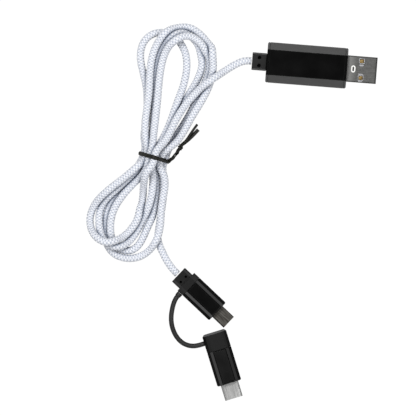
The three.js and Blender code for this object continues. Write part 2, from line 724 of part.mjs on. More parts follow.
function addMicroPlug() {
  const group = new THREE.Group();
  group.position.set(MICRO_X, MICRO_Y, 0);
  group.rotation.z = THREE.MathUtils.degToRad(MICRO_TURN);
  assembly.add(group);

  const shoulderFront = -MICRO_BODY + MICRO_SHOULDER;
  const housingStart = shoulderFront + SEAM;
  const cavity = MICRO_WIDTH - 2 * HOUSING_WALL;
  const cavityHeight = MICRO_HEIGHT - 2 * (INLAY_THICKNESS + FIT + HOUSING_WALL / 2);
  const slot = lift(tipOutline(MICRO_TIP_WIDTH + 2 * FIT, MICRO_TIP_HEIGHT + 2 * FIT), microZ);
  const panel = inlays(
    MICRO_FLAT, MICRO_HEIGHT, housingStart + INLAY_MARGIN, -HOUSING_BEVEL - INLAY_MARGIN,
  );
  const housing = cut(
    skin(housingBar(microOutline, MICRO_WIDTH, MICRO_HEIGHT, housingStart, 0, HOUSING_BEVEL)),
    block(
      [housingStart - OVERCUT, -HOUSING_WALL],
      [-cavity / 2, cavity / 2],
      [microZ - cavityHeight / 2, microZ + cavityHeight / 2],
    ),
    bar(slot, -HOUSING_WALL - OVERCUT, OVERCUT),
    ...panel.pockets,
  );
  place(group, "micro_housing", housing, housingBlack);
  place(group, "micro_face_top", panel.top, smokedWindow);
  place(group, "micro_face_bottom", panel.bottom, smokedWindow);

  const collarRear = -MICRO_BODY - MICRO_COLLAR_LENGTH;
  const { body, cutters } = collarBlock(
    collarRear,
    shoulderFront - MICRO_SHOULDER / 2,
    MICRO_COLLAR_WIDTH,
    MICRO_COLLAR_HEIGHT,
    microZ,
    {
      spacing: MICRO_DIMPLE_SPACING,
      setback: MICRO_DIMPLE_SETBACK,
      diameter: MICRO_DIMPLE_DIAMETER,
    },
  );
  const shoulder = bar(lift(microOutline, microZ), -MICRO_BODY, shoulderFront);
  const bore = bar(
    lift(circle(CORD_DIAMETER + CORD_PLAY), microZ),
    collarRear - OVERCUT,
    shoulderFront + OVERCUT,
  );
  place(group, "micro_collar", cut(join(shoulder, body), ...cutters, bore), matteBlack);

  const crimpFront = housingStart + CRIMP_LENGTH;
  place(
    group,
    "micro_crimp",
    sleeve(
      lift(circle(CORD_DIAMETER + CRIMP_WALL), microZ),
      lift(circle(CORD_DIAMETER - CRIMP_WALL), microZ),
      housingStart + SEAM,
      crimpFront,
    ),
    copper,
  );

  // Metal tip with two openings underneath for the spring hooks.
  const outer = lift(tipOutline(MICRO_TIP_WIDTH, MICRO_TIP_HEIGHT), microZ);
  const inner = lift(
    tipOutline(MICRO_TIP_WIDTH - 2 * MICRO_SHEET, MICRO_TIP_HEIGHT - 2 * MICRO_SHEET),
    microZ,
  );
  const underside = microZ - MICRO_TIP_HEIGHT / 2;
  const hookX = MICRO_TIP - HOOK_SETBACK;
  const windows = [-1, 1].map((side) => {
    const y = (side * HOOK_SPACING) / 2;
    return block(
      [hookX - HOOK_LENGTH / 2 - SEAM, hookX + HOOK_LENGTH / 2 + SEAM],
      [y - HOOK_WIDTH / 2 - SEAM, y + HOOK_WIDTH / 2 + SEAM],
      [underside - OVERCUT, underside + MICRO_SHEET + SEAM],
    );
  });
  place(
    group,
    "micro_usb_shell",
    cut(sleeve(outer, inner, -MICRO_ROOT, MICRO_TIP), ...windows),
    nickel,
  );

  // The insulator lies against the roof, so the hooks can rise under it.
  const roof = microZ + MICRO_TIP_HEIGHT / 2 - MICRO_SHEET;
  const halfTongue = MICRO_TIP_WIDTH / 2 - MICRO_SHEET - MICRO_TIP_EDGE - SEAM;
  const tongueBottom = roof - SEAM / 2 - MICRO_TONGUE;
  place(
    group,
    "micro_insulator",
    block(
      [-MICRO_ROOT, MICRO_TIP - MICRO_TONGUE_RECESS],
      [-halfTongue, halfTongue],
      [tongueBottom, roof - SEAM / 2],
    ),
    blackNylon,
  );
  const contactTop = tongueBottom - SEAM / 2;
  place(
    group,
    "micro_contacts",
    comb(
      MICRO_PINS, MICRO_PITCH, -MICRO_ROOT - MICRO_CONTACT_TAIL,
      MICRO_TIP - MICRO_CONTACT_RECESS, contactTop - PIN_THICKNESS, contactTop,
    ),
    gold,
  );
  const smallBoardTop = contactTop - PIN_THICKNESS - SEAM / 2;
  place(
    group,
    "micro_board",
    block(
      [crimpFront + SEAM, -MICRO_ROOT - SEAM],
      [-cavity / 2 + SEAM, cavity / 2 - SEAM],
      [smallBoardTop - SMALL_BOARD, smallBoardTop],
    ),
    boardGreen,
  );
  for (const [name, side] of [["latch_hook_left", 1], ["latch_hook_right", -1]]) {
    const y = (side * HOOK_SPACING) / 2;
    const bottom = underside - HOOK_PROUD;
    place(
      group,
      name,
      block(
        [hookX - HOOK_LENGTH / 2, hookX + HOOK_LENGTH / 2],
        [y - HOOK_WIDTH / 2, y + HOOK_WIDTH / 2],
        [bottom, bottom + HOOK_HEIGHT],
      ),
      brightSteel,
    );
  }
}

// The micro-USB section: square below, with its upper corners cut back.
function tipOutline(width, height) {
  const [y, z] = [width / 2, height / 2];
  const e = MICRO_TIP_EDGE;
  return [[y, -z], [y, z - e], [y - e, z], [-y + e, z], [-y, z - e], [-y, -z]];
}

function addAdapter() {
  const group = new THREE.Group();
  group.position.set(ADAPTER_X, ADAPTER_Y, 0);
  group.rotation.z = THREE.MathUtils.degToRad(ADAPTER_TURN);
  assembly.add(group);

  const z = ADAPTER_HEIGHT / 2;
  const outline = smallHousing(ADAPTER_WIDTH, ADAPTER_HEIGHT, ADAPTER_FLAT);
  const rings = housingBar(
    outline, ADAPTER_WIDTH, ADAPTER_HEIGHT, -ADAPTER_COLLAR, 0, ADAPTER_BEVEL,
  );
  // The collar is the same bar turned to face the other way, bevelled at the socket end.
  const collarRings = rings.map(({ x, outline: ring }) => ({ x: -x, outline: ring })).reverse();
  const socketHole = lift(
    roundedBox(SOCKET_WIDTH + 2 * FIT, SOCKET_HEIGHT + 2 * FIT, SOCKET_CORNER + SEAM),
    z,
  );
  place(
    group,
    "adapter_collar",
    cut(skin(collarRings), bar(socketHole, -OVERCUT, ADAPTER_COLLAR + OVERCUT)),
    matteBlack,
  );

  const housingStart = ADAPTER_COLLAR + SEAM;
  const cavity = ADAPTER_WIDTH - 2 * HOUSING_WALL;
  const cavityHeight = ADAPTER_HEIGHT - 2 * (INLAY_THICKNESS + FIT + HOUSING_WALL / 2);
  const panel = inlays(
    ADAPTER_FLAT,
    ADAPTER_HEIGHT,
    housingStart + INLAY_MARGIN,
    ADAPTER_BODY - HOUSING_BEVEL - INLAY_MARGIN,
  );
  const mouth = lift(
    roundedBox(USB_C_WIDTH + 2 * FIT, USB_C_HEIGHT + 2 * FIT, USB_C_HEIGHT / 2),
    z,
  );
  const housing = cut(
    skin(
      housingBar(
        outline, ADAPTER_WIDTH, ADAPTER_HEIGHT, housingStart, ADAPTER_BODY, HOUSING_BEVEL,
      ),
    ),
    block(
      [housingStart - OVERCUT, ADAPTER_BODY - HOUSING_WALL],
      [-cavity / 2, cavity / 2],
      [z - cavityHeight / 2, z + cavityHeight / 2],
    ),
    bar(mouth, ADAPTER_BODY - HOUSING_WALL - OVERCUT, ADAPTER_BODY + OVERCUT),
    ...panel.pockets,
  );
  place(group, "adapter_housing", housing, housingBlack);
  place(group, "adapter_face_top", panel.top, smokedWindow);
  place(group, "adapter_face_bottom", panel.bottom, smokedWindow);

  // Micro-USB socket: shell, tongue hanging from the roof side, and its row of contacts.
  const socketBack = SOCKET_RECESS + SOCKET_DEPTH;
  const socketInner = [SOCKET_WIDTH - 2 * MICRO_SHEET, SOCKET_HEIGHT - 2 * MICRO_SHEET];
  place(
    group,
    "socket_shell",
    sleeve(
      lift(roundedBox(SOCKET_WIDTH, SOCKET_HEIGHT, SOCKET_CORNER), z),
      lift(roundedBox(...socketInner, SOCKET_CORNER - SEAM), z),
      SOCKET_RECESS,
      socketBack,
    ),
    nickel,
  );
  place(
    group,
    "socket_tongue",
    block(
      [SOCKET_RECESS + SOCKET_TONGUE_RECESS, socketBack + SOCKET_TAIL],
      [-SOCKET_TONGUE_WIDTH / 2, SOCKET_TONGUE_WIDTH / 2],
      SOCKET_TONGUE.map((up) => z + up),
    ),
    blackNylon,
  );
  const pins = comb(
    MICRO_PINS, MICRO_PITCH, SOCKET_RECESS + SOCKET_CONTACT_RECESS,
    socketBack + 2 * SOCKET_TAIL, ...SOCKET_CONTACTS.map((up) => z + up),
  );
  place(group, "socket_contacts", pins, gold);

  const boardEnds = [socketBack + ADAPTER_BOARD_GAP, ADAPTER_BODY - USB_C_ROOT - SEAM];
  place(
    group,
    "adapter_board",
    block(
      boardEnds,
      [-cavity / 2 + SEAM, cavity / 2 - SEAM],
      [z - SMALL_BOARD / 2, z + SMALL_BOARD / 2],
    ),
    boardGreen,
  );

  // USB-C plug: stadium shell, insulating liner and a row of contacts on each inner face.
  const rear = ADAPTER_BODY - USB_C_ROOT;
  const tip = ADAPTER_BODY + USB_C_LENGTH;
  const stadium = (inset) => {
    const [width, height] = [USB_C_WIDTH - 2 * inset, USB_C_HEIGHT - 2 * inset];
    return lift(roundedBox(width, height, height / 2 - SEAM / 10, 4), z);
  };
  const linerOuter = USB_C_SHEET + SEAM;
  const linerInner = linerOuter + USB_C_LINER;
  const linerFront = tip - USB_C_LINER_RECESS;
  place(group, "usb_c_shell", sleeve(stadium(0), stadium(USB_C_SHEET), rear, tip), brightSteel);
  place(
    group,
    "usb_c_liner",
    sleeve(stadium(linerOuter), stadium(linerInner), rear, linerFront),
    blackNylon,
  );
  const lane = USB_C_HEIGHT / 2 - linerInner - SEAM / 2;
  const row = (z0, z1) =>
    comb(USB_C_PINS, USB_C_PITCH, rear + FIT, tip - USB_C_CONTACT_RECESS, z0, z1);
  place(group, "usb_c_contacts_top", row(z + lane - PIN_THICKNESS, z + lane), gold);
  place(group, "usb_c_contacts_bottom", row(z - lane, z - lane + PIN_THICKNESS), gold);
}

// ---- soft pieces ----
// A point of a turned group, as a point of the whole.
function outward(originX, originY, turn, x, y) {
  const angle = THREE.MathUtils.degToRad(turn);
  return [
    originX + x * Math.cos(angle) - y * Math.sin(angle),
    originY + x * Math.sin(angle) + y * Math.cos(angle),
  ];
}

function addTether() {
  const section = roundSection(TETHER_DIAMETER, 8);
  const seatX = -MICRO_BODY + TETHER_SEAT;
  const off = -MICRO_WIDTH / 2 - GAP;
  const start = outward(MICRO_X, MICRO_Y, MICRO_TURN, seatX, off);
  const out = outward(MICRO_X, MICRO_Y, MICRO_TURN, seatX, off - TETHER_DIAMETER / 2);
  const side = -ADAPTER_WIDTH / 2 - GAP;
  const end = outward(ADAPTER_X, ADAPTER_Y, ADAPTER_TURN, TETHER_REST, side);
  const into = outward(
    ADAPTER_X, ADAPTER_Y, ADAPTER_TURN, TETHER_REST, side - TETHER_DIAMETER / 2,
  );
  const level = (points) => points.map(([x, y]) => [x, y, microZ]);
  const bend = new THREE.Vector2(...TETHER_ROUTE.at(-1));
  const next = new THREE.Vector2(...TETHER_RETURN[0]);
  const before = new THREE.Vector2(...TETHER_ROUTE.at(-2));
  const half = TETHER_BREAK / 2;
  const stop = bend.clone().add(before.sub(bend).setLength(half));
  const restart = bend.clone().add(next.clone().sub(bend).setLength(half));
  place(
    assembly,
    "tether_plug_half",
    tube(level([start, out, ...TETHER_ROUTE.slice(0, -1), stop.toArray()]), 20, section),
    rubber,
  );
  place(
    assembly,
    "tether_adapter_half",
    tube(level([restart.toArray(), ...TETHER_RETURN, into, end]), 14, section),
    rubber,
  );
}

function addCord() {
  const section = roundSection(CORD_DIAMETER, 8);
  const start = [rearX - GAP, 0, axisZ];
  const bow = LEAD_BOW.map((shares) =>
    shares.map((share, axis) => THREE.MathUtils.lerp(start[axis], LEAD_END[axis], share)),
  );
  place(assembly, "cord_lead", tube([start, ...bow], 8, section), braid);
  const collarX = -MICRO_BODY - MICRO_COLLAR_LENGTH - GAP;
  const end = outward(MICRO_X, MICRO_Y, MICRO_TURN, collarX, 0);
  const into = outward(MICRO_X, MICRO_Y, MICRO_TURN, collarX - CORD_DIAMETER / 2, 0);
  place(
    assembly,
    "cord_tail",
    tube([...TAIL_ROUTE, [...into, microZ], [...end, microZ]], 8, section),
    braid,
  );
  const shape = new THREE.Shape();
  const [first, ...rest] = HANK_OUTLINE.map(([x, y]) => new THREE.Vector2(x, y));
  shape.moveTo(first.x, first.y);
  shape.splineThru([...rest, first]);
  const hank = new THREE.ExtrudeGeometry(shape, {
    depth: HANK_HEIGHT,
    bevelEnabled: false,
    curveSegments: 2,
  });
  place(assembly, "cord_hank", hank, braid);

  const above = HANK_HEIGHT + GAP + TIE_THICKNESS;
  const strip = new THREE.Shape(
    bevelledBox(TIE_WIDTH, TIE_THICKNESS, TIE_THICKNESS / 5).map(([a, b]) => new THREE.Vector2(b, a)),
  );
  const points = [
    [...TIE_LEFT, TIE_WIDTH],
    [...TIE_LEFT, above],
    [...TIE_RIGHT, above],
    ...TIE_TAIL,
  ];
  place(assembly, "twist_tie", tube(points, 28, strip), tieBlack);
}

addMeterHousing();
addPlug();
addCircuit();
addMicroPlug();
addAdapter();
addTether();
addCord();

export default assembly;
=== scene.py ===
"""Looks of a charging cable with an inline power meter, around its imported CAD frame."""

import json
import math

import bmesh
import bpy
import numpy as np
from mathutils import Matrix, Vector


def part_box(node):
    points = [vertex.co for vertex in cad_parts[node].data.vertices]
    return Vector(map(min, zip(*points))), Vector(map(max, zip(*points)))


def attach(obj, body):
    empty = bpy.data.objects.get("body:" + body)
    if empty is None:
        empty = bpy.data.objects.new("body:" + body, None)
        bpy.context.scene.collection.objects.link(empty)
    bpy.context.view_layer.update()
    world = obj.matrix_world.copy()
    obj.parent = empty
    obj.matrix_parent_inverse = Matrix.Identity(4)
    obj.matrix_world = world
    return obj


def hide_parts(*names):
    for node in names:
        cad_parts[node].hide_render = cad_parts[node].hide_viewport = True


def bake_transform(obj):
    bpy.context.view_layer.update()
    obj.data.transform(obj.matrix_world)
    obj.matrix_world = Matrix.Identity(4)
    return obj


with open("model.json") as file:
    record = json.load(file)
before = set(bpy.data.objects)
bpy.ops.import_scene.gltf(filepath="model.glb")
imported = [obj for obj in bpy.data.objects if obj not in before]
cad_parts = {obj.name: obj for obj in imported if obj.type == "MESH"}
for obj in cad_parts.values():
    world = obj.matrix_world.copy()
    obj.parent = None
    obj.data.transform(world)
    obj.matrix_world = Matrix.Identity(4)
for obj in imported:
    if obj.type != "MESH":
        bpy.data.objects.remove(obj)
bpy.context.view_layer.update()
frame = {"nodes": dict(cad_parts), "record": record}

MM = 0.001
CORD = 3.5 * MM
TETHER = 2.2 * MM
METER_LEAN = math.radians(4.5)  # how far the meter is turned in the main view
VIEW_MIDDLE = (-43.2 * MM, -68.3 * MM)
VIEW_WIDTH = 189.5 * MM
LENS = 800.0
SENSOR = 36.0

CABLE = "cable"
ADAPTER = "adapter"


# ---------------------------------------------------------------- camera, floor and light


def added(name, data):
    """A new object of the scene that holds this data."""
    thing = bpy.data.objects.new(name, data)
    bpy.context.scene.collection.objects.link(thing)
    return thing


def make_camera():
    """Looks straight down, far off through a long lens, turned so the meter leans."""
    data = bpy.data.cameras.new("camera")
    data.lens = LENS
    data.sensor_width = SENSOR
    data.clip_end = 20
    camera = added("camera", data)
    distance = VIEW_WIDTH * LENS / SENSOR
    camera.location = (*VIEW_MIDDLE, distance + 4 * MM)
    camera.rotation_euler = (0, 0, METER_LEAN)
    bpy.context.scene.camera = camera


def nodes_of(tree):
    tree.nodes.clear()
    return tree.nodes, tree.links


def calc(nodes, links, kind, *values):
    """The output of a maths node whose inputs are numbers or sockets."""
    node = nodes.new("ShaderNodeMath")
    node.operation = kind
    for socket, value in zip(node.inputs, values):
        if isinstance(value, (int, float)):
            socket.default_value = value
        else:
            links.new(value, socket)
    return node.outputs[0]


def make_floor():
    """A plain pale sheet, larger than any view needs."""
    size = 3.0
    mesh = bpy.data.meshes.new("floor")
    corners = [(-size, -size, 0), (size, -size, 0), (size, size, 0), (-size, size, 0)]
    mesh.from_pydata(corners, [], [(0, 1, 2, 3)])
    floor = added("floor", mesh)
    material = bpy.data.materials.new("pale_floor")
    material.use_nodes = True
    nodes, links = nodes_of(material.node_tree)
    out = nodes.new("ShaderNodeOutputMaterial")
    shader = nodes.new("ShaderNodeBsdfPrincipled")
    shader.inputs["Base Color"].default_value = (0.4, 0.4, 0.4, 1)
    shader.inputs["Roughness"].default_value = 0.9
    shader.inputs["Specular IOR Level"].default_value = 0.1
    glow = nodes.new("ShaderNodeEmission")
    glow.inputs["Strength"].default_value = 1.12
    seen = nodes.new("ShaderNodeLightPath")
    mix = nodes.new("ShaderNodeMixShader")
    part = calc(nodes, links, "MULTIPLY", seen.outputs["Is Camera Ray"], 0.88)
    links.new(part, mix.inputs["Fac"])
    links.new(shader.outputs[0], mix.inputs[1])
    links.new(glow.outputs[0], mix.inputs[2])
    links.new(mix.outputs[0], out.inputs[0])
    mesh.materials.append(material)


def make_light():
    """A dome that is brightest half-way up and dark overhead, and a soft box each side.

    Flat gloss faces mirror the dark middle, and the tops of round strands catch the ring."""
    scene = bpy.context.scene
    scene.view_settings.view_transform = "Standard"
    world = bpy.data.worlds.new("studio")
    scene.world = world
    world.use_nodes = True
    nodes, links = nodes_of(world.node_tree)
    out = nodes.new("ShaderNodeOutputWorld")
    background = nodes.new("ShaderNodeBackground")
    coordinates = nodes.new("ShaderNodeTexCoord")
    split = nodes.new("ShaderNodeSeparateXYZ")
    ramp = nodes.new("ShaderNodeValToRGB")
    elements = ramp.color_ramp.elements
    for _ in range(2):
        elements.new(0.5)
    stops = [(0.05, 0.1), (0.5, 1.0), (0.85, 1.0), (0.97, 0.08)]
    for element, (place, value) in zip(elements, stops):
        element.position = place
        element.color = (value, value, value, 1)
    links.new(coordinates.outputs["Generated"], split.inputs[0])
    links.new(split.outputs["Z"], ramp.inputs[0])
    links.new(ramp.outputs[0], background.inputs["Color"])
    links.new(background.outputs[0], out.inputs[0])
    background.inputs["Strength"].default_value = 0.85
    for name, place, power, size in [
        ("key", (-0.3, 0.35, 0.9), 5.2, 0.3),
        ("fill", (0.4, -0.3, 0.9), 2.8, 0.4),
    ]:
        data = bpy.data.lights.new(name, "AREA")
        data.energy = power
        data.size = size
        light = added(name, data)
        light.location = (place[0] + VIEW_MIDDLE[0], place[1] + VIEW_MIDDLE[1], place[2])
        aim = np.array([*VIEW_MIDDLE, 0]) - np.array(light.location)
        light.rotation_euler = (
            math.atan2(math.hypot(aim[0], aim[1]), -aim[2]),
            0,
            math.atan2(aim[1], aim[0]) - math.pi / 2,
        )


# ---------------------------------------------------------------- the cord's route, in mm

WAIST = np.array([-69.5, -47.3])
WAIST_ACROSS = np.array([0.977, -0.212])
WAIST_ALONG = np.array([-0.212, -0.977])
TIE_REACH = 3.0  # strands run side by side this far each way from the tie
STRAND = CORD / MM

LEAD = [
    (-28.75, 0.0), (-31.6, -0.2), (-34.8, -1.5), (-38.4, -3.9), (-42.0, -6.7), (-49.0, -12.4),
    (-55.4, -19.8), (-61.3, -30.4), (-65.9, -40.6),
]
TAIL = [
    (-64.6, -60.0), (-64.2, -70.0), (-64.8, -79.0), (-64.6, -85.2), (-62.3, -89.9),
    (-60.2, -93.4), (-57.8, -96.4), (-56.2, -98.05), (-54.5, -99.43),
]
# Each loop: its place in the stack, then points round it in the cord's direction.
LOWER_1 = (4.0, [
    (-71.9, -53.5), (-73.2, -64.5), (-75.3, -77.0), (-81.5, -85.0), (-88.8, -87.4),
    (-95.0, -82.8), (-96.3, -75.5), (-92.6, -67.6), (-82.4, -57.6), (-76.2, -51.6),
])
UPPER_2 = (3.0, [
    (-73.7, -40.0), (-74.2, -19.1), (-74.1, -3.0), (-69.4, 8.6), (-59.8, 12.9), (-49.8, 7.2),
    (-46.0, -3.0), (-48.7, -17.1), (-54.5, -29.0), (-61.0, -40.6),
])
LOWER_4 = (0.8, [
    (-65.2, -53.5), (-64.2, -68.5), (-64.8, -82.4), (-70.2, -91.4), (-78.2, -93.9),
    (-85.0, -90.6), (-88.8, -84.0), (-89.2, -77.0), (-88.0, -70.5), (-84.2, -64.2),
    (-79.8, -58.6), (-76.8, -53.4),
])
UPPER_1 = (0.0, [
    (-74.7, -39.0), (-73.7, -29.0), (-74.6, -19.0), (-77.4, -9.5), (-79.4, -1.0), (-77.6, 6.0),
    (-72.2, 9.6), (-65.0, 8.4), (-59.2, 1.6), (-58.0, -8.4), (-61.0, -22.0), (-66.0, -38.0),
])
LOWER_2 = (2.2, [
    (-69.6, -54.0), (-69.8, -68.0), (-74.5, -80.7), (-81.6, -88.8), (-88.4, -87.4),
    (-92.0, -79.5), (-91.3, -71.5), (-87.6, -65.2), (-82.0, -59.4), (-75.6, -52.8),
])
UPPER_4 = (1.0, [
    (-71.0, -39.0), (-71.9, -24.0), (-71.9, -6.0), (-68.0, 6.2), (-60.6, 10.3), (-54.4, 6.6),
    (-51.0, -3.4), (-54.7, -15.0), (-60.8, -27.0), (-65.6, -39.4),
])
LOWER_3 = (1.6, [
    (-67.6, -54.4), (-67.4, -68.0), (-70.6, -80.8), (-76.5, -90.2), (-83.0, -89.8),
    (-86.8, -81.0), (-86.0, -72.8), (-82.2, -65.4), (-77.6, -59.3), (-72.8, -52.6),
])
UPPER_3 = (2.0, [
    (-70.6, -40.0), (-70.0, -20.0), (-69.4, -4.8), (-65.4, 5.4), (-58.4, 9.0), (-51.4, 5.2),
    (-47.6, -3.6), (-50.6, -15.6), (-55.9, -28.5), (-62.0, -40.0),
])
# Loops in order along the cord, with where each passage lies across the waist and how high.
ROUTE = [
    ((0.2, 9.0), LOWER_1), ((-3.9, 6.0), UPPER_2), ((3.4, 5.0), LOWER_4),
    ((-5.0, 0.0), UPPER_1), ((0.0, 4.0), LOWER_2), ((-1.6, 1.0), UPPER_4),
    ((1.8, 2.0), LOWER_3), ((-2.0, 7.0), UPPER_3), ((4.6, 3.0), None),
]


def distance_along(line):
    """How far each point lies from the first, along straight pieces between the points."""
    return np.concatenate([[0], np.cumsum(np.linalg.norm(np.diff(line, axis=0), axis=1))])


def read_at(places, run, table):
    """Every column of a table, read at places along its run."""
    return np.column_stack([np.interp(places, run, column) for column in table.T])


def angles(count):
    return 2 * np.pi * np.arange(count) / count


def spline(points, values, step):
    """A curve with continuous bend through points, cut into near-equal steps.

    Solves the natural cubic spline over chord length for every column at once."""
    points = np.asarray(points, float)
    table = np.column_stack([points, np.asarray(values, float)])
    t = distance_along(points)
    h = np.diff(t)
    n = len(t)
    matrix = np.zeros((n, n))
    right = np.zeros_like(table)
    matrix[0, 0] = matrix[-1, -1] = 1
    inner = np.arange(1, n - 1)
    matrix[inner, inner - 1] = h[:-1]
    matrix[inner, inner] = 2 * (h[:-1] + h[1:])
    matrix[inner, inner + 1] = h[1:]
    slope = np.diff(table, axis=0) / h[:, None]
    right[1:-1] = 6 * np.diff(slope, axis=0)
    bend = np.linalg.solve(matrix, right)
    fine = np.linspace(0, t[-1], int(t[-1] / step * 4))
    k = np.clip(np.searchsorted(t, fine, side="right") - 1, 0, n - 2)
    a = ((t[k + 1] - fine) / h[k])[:, None]
    b = 1 - a
    hk = h[k][:, None]
    curve = a * table[k] + b * table[k + 1]
    curve += ((a**3 - a) * bend[k] + (b**3 - b) * bend[k + 1]) * hk**2 / 6
    run = distance_along(curve[:, :2])
    return read_at(np.arange(0, run[-1], step), run, curve)


def linear_levels(points, anchors):
    """Stack places run straight between their anchors, by chord length along the route."""
    t = distance_along(np.asarray(points))
    places, levels = zip(*anchors)
    return np.interp(t, t[list(places)], levels)


def cord_plan():
    """The cord's plan: points and stack places from the collar to the micro-USB collar."""
    points = list(LEAD)
    anchors = [(0, 9.0), (len(points) - 1, 9.0)]
    downward = 1
    for (across, level), loop in ROUTE:
        for along in (-TIE_REACH * downward, TIE_REACH * downward):
            points.append(tuple(WAIST + across * WAIST_ACROSS + along * WAIST_ALONG))
            anchors.append((len(points) - 1, level))
        if loop is not None:
            height, places = loop
            anchors.append((len(points) + 2, height))
            points.extend(places)
            anchors.append((len(points) - 3, height))
        downward = -downward
    points.extend(TAIL)
    anchors.append((len(points) - len(TAIL) + 2, 0.0))
    anchors.append((len(points) - 1, 0.0))
    return points, linear_levels(points, anchors)


LAY_STEP = 1.0  # mm between the points that are laid
LAY_ROUNDS = 1500
GENTLE_FROM = 1200  # the round from which the cord sinks slowly
LEVEL_HEIGHT = 2.6  # mm from one place in the stack to the next, at the start
TIE_LIFT = 0.8  # the tie passes underneath
WAIST_REACH = 12  # mm each way from the waist's middle that the tie lifts
EASE_START = 4  # points from an end that stay level with its collar
EASE_LENGTH = 22  # points over which the cord then comes down to the floor


def settled(plan, levels, ends):
    """Lays the cord down: it falls, bends stiffly, and strands push each other apart.

    Each round smooths the heights so that they keep their curvature, lowers them a little,
    pulls every point toward its place in the plan, then moves each pair of points that are
    closer than one cord apart away from each other by equal amounts."""
    count = len(plan)
    far = int(3 * STRAND / LAY_STEP)
    distance = np.linalg.norm(plan[:, None] - plan[None], axis=2)
    i, j = np.nonzero(np.triu(distance < STRAND * 1.5, far))
    off = np.abs((plan - WAIST) @ WAIST_ALONG)
    near = np.abs((plan - WAIST) @ WAIST_ACROSS) < WAIST_REACH
    floor = STRAND / 2 + TIE_LIFT * np.clip(1.6 - off / 6, 0, 1) * near
    first, last = ends
    ease = np.clip(1 - (np.arange(count) - EASE_START) / EASE_LENGTH, 0, 1)
    ease = ease**2 * (3 - 2 * ease)
    floor = np.maximum(floor, STRAND / 2 + (first - STRAND / 2) * ease)
    floor = np.maximum(floor, STRAND / 2 + (last - STRAND / 2) * ease[::-1])
    place = np.column_stack([plan, STRAND / 2 + LEVEL_HEIGHT * levels])
    shift = np.zeros((count, 2))
    for turn in range(LAY_ROUNDS):
        z = place[:, 2]
        for _ in range(3):
            z[2:-2] += 0.9 * (-z[:-4] + 4 * z[1:-3] - 6 * z[2:-2] + 4 * z[3:-1] - z[4:]) / 16
        z[1:-1] += 0.02 * (z[:-2] - 2 * z[1:-1] + z[2:])
        z -= 0.02 if turn < GENTLE_FROM else 0.004
        shift[1:-1] = 0.25 * shift[:-2] + 0.5 * shift[1:-1] + 0.25 * shift[2:]
        shift *= 0.9
        place[:, :2] = plan + shift
        gap = place[i] - place[j]
        size = np.maximum(np.linalg.norm(gap, axis=1), 1e-6)
        push = np.maximum(STRAND - size, 0) / size * 0.5
        move = gap * push[:, None]
        total = np.zeros((count, 3))
        np.add.at(total, i, move)
        np.add.at(total, j, -move)
        hits = np.bincount(i, push > 0, count) + np.bincount(j, push > 0, count)
        place += total / np.maximum(1, hits)[:, None] * 1.2
        shift = place[:, :2] - plan
        shift[:6] = 0
        shift[-6:] = 0
        place[:, 2] = np.maximum(place[:, 2], floor)
        place[:5, 2] = first
        place[-5:, 2] = last
    return np.column_stack([plan + shift, place[:, 2]])


def cord_line():
    """The whole centreline in metres, at the steps of the braid's rings."""
    points, levels = cord_plan()
    plan = spline(points, levels, LAY_STEP)
    low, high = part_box("rear_collar")
    meter_axis = (low.z + high.z) / 2 / MM
    low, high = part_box("micro_collar")
    plug_axis = (low.z + high.z) / 2 / MM
    line = settled(plan[:, :2], plan[:, 2], (meter_axis, plug_axis))
    return resampled(line, BRAID_STEP) * MM


def resampled(line, step):
    """Points along a line at equal steps of its own length."""
    run = distance_along(line)
    even = np.linspace(0, run[-1], int(round(run[-1] / step)) + 1)
    return read_at(even, run, line)


def length_of(line):
    return float(np.linalg.norm(np.diff(line, axis=0), axis=1).sum())


# ---------------------------------------------------------------- mesh making


def carried_frames(line):
    """Tangent and two cross directions at each point, carried along without twisting."""
    tangent = np.gradient(line, axis=0)
    tangent /= np.linalg.norm(tangent, axis=1)[:, None]
    across = np.zeros_like(line)
    start = np.cross(tangent[0], [0.0, 0.0, 1.0])
    if np.linalg.norm(start) < 1e-3:
        start = np.array([1.0, 0.0, 0.0])
    across[0] = start / np.linalg.norm(start)
    for k in range(1, len(line)):
        side = across[k - 1] - tangent[k] * (across[k - 1] @ tangent[k])
        across[k] = side / np.linalg.norm(side)
    return tangent, across, np.cross(tangent, across)


def grid_mesh(name, points, wrap_rows=False, uv=None):
    """A mesh from a grid of points [row, column, xyz]; rows run along, columns run round.

    Its ends are capped unless the rows close on themselves."""
    rows, columns = points.shape[:2]
    vertices = points.reshape(-1, 3)
    row = np.arange(rows if wrap_rows else rows - 1)
    column = np.arange(columns)
    r, c = np.meshgrid(row, column, indexing="ij")
    r1, c1 = (r + 1) % rows, (c + 1) % columns
    faces = np.stack([r * columns + c, r * columns + c1, r1 * columns + c1, r1 * columns + c], -1)
    faces = faces.reshape(-1, 4)
    mesh = bpy.data.meshes.new(name)
    extra = []
    if not wrap_rows:
        middle = len(vertices)
        vertices = np.vstack([vertices, points[0].mean(0), points[-1].mean(0)])
        ring = np.arange(columns)
        last = (rows - 1) * columns
        extra = [(middle, (k + 1) % columns, k) for k in ring.tolist()]
        extra += [(middle + 1, last + k, last + (k + 1) % columns) for k in ring.tolist()]
    mesh.from_pydata(vertices.tolist(), [], faces.tolist() + extra)
    if uv is not None:
        layer = mesh.uv_layers.new(name="UVMap")
        around, along = uv
        u = np.stack([c, c + 1, c + 1, c], -1).reshape(-1) * around / columns
        v = np.stack([r, r, r + 1, r + 1], -1).reshape(-1) * along / (rows - 1)
        flat = np.zeros((len(mesh.loops), 2), np.float32)
        flat[: len(u), 0] = u
        flat[: len(v), 1] = v
        layer.data.foreach_set("uv", flat.reshape(-1))
    mesh.polygons.foreach_set("use_smooth", np.ones(len(mesh.polygons), bool))
    mesh.update()
    return added(name, mesh)


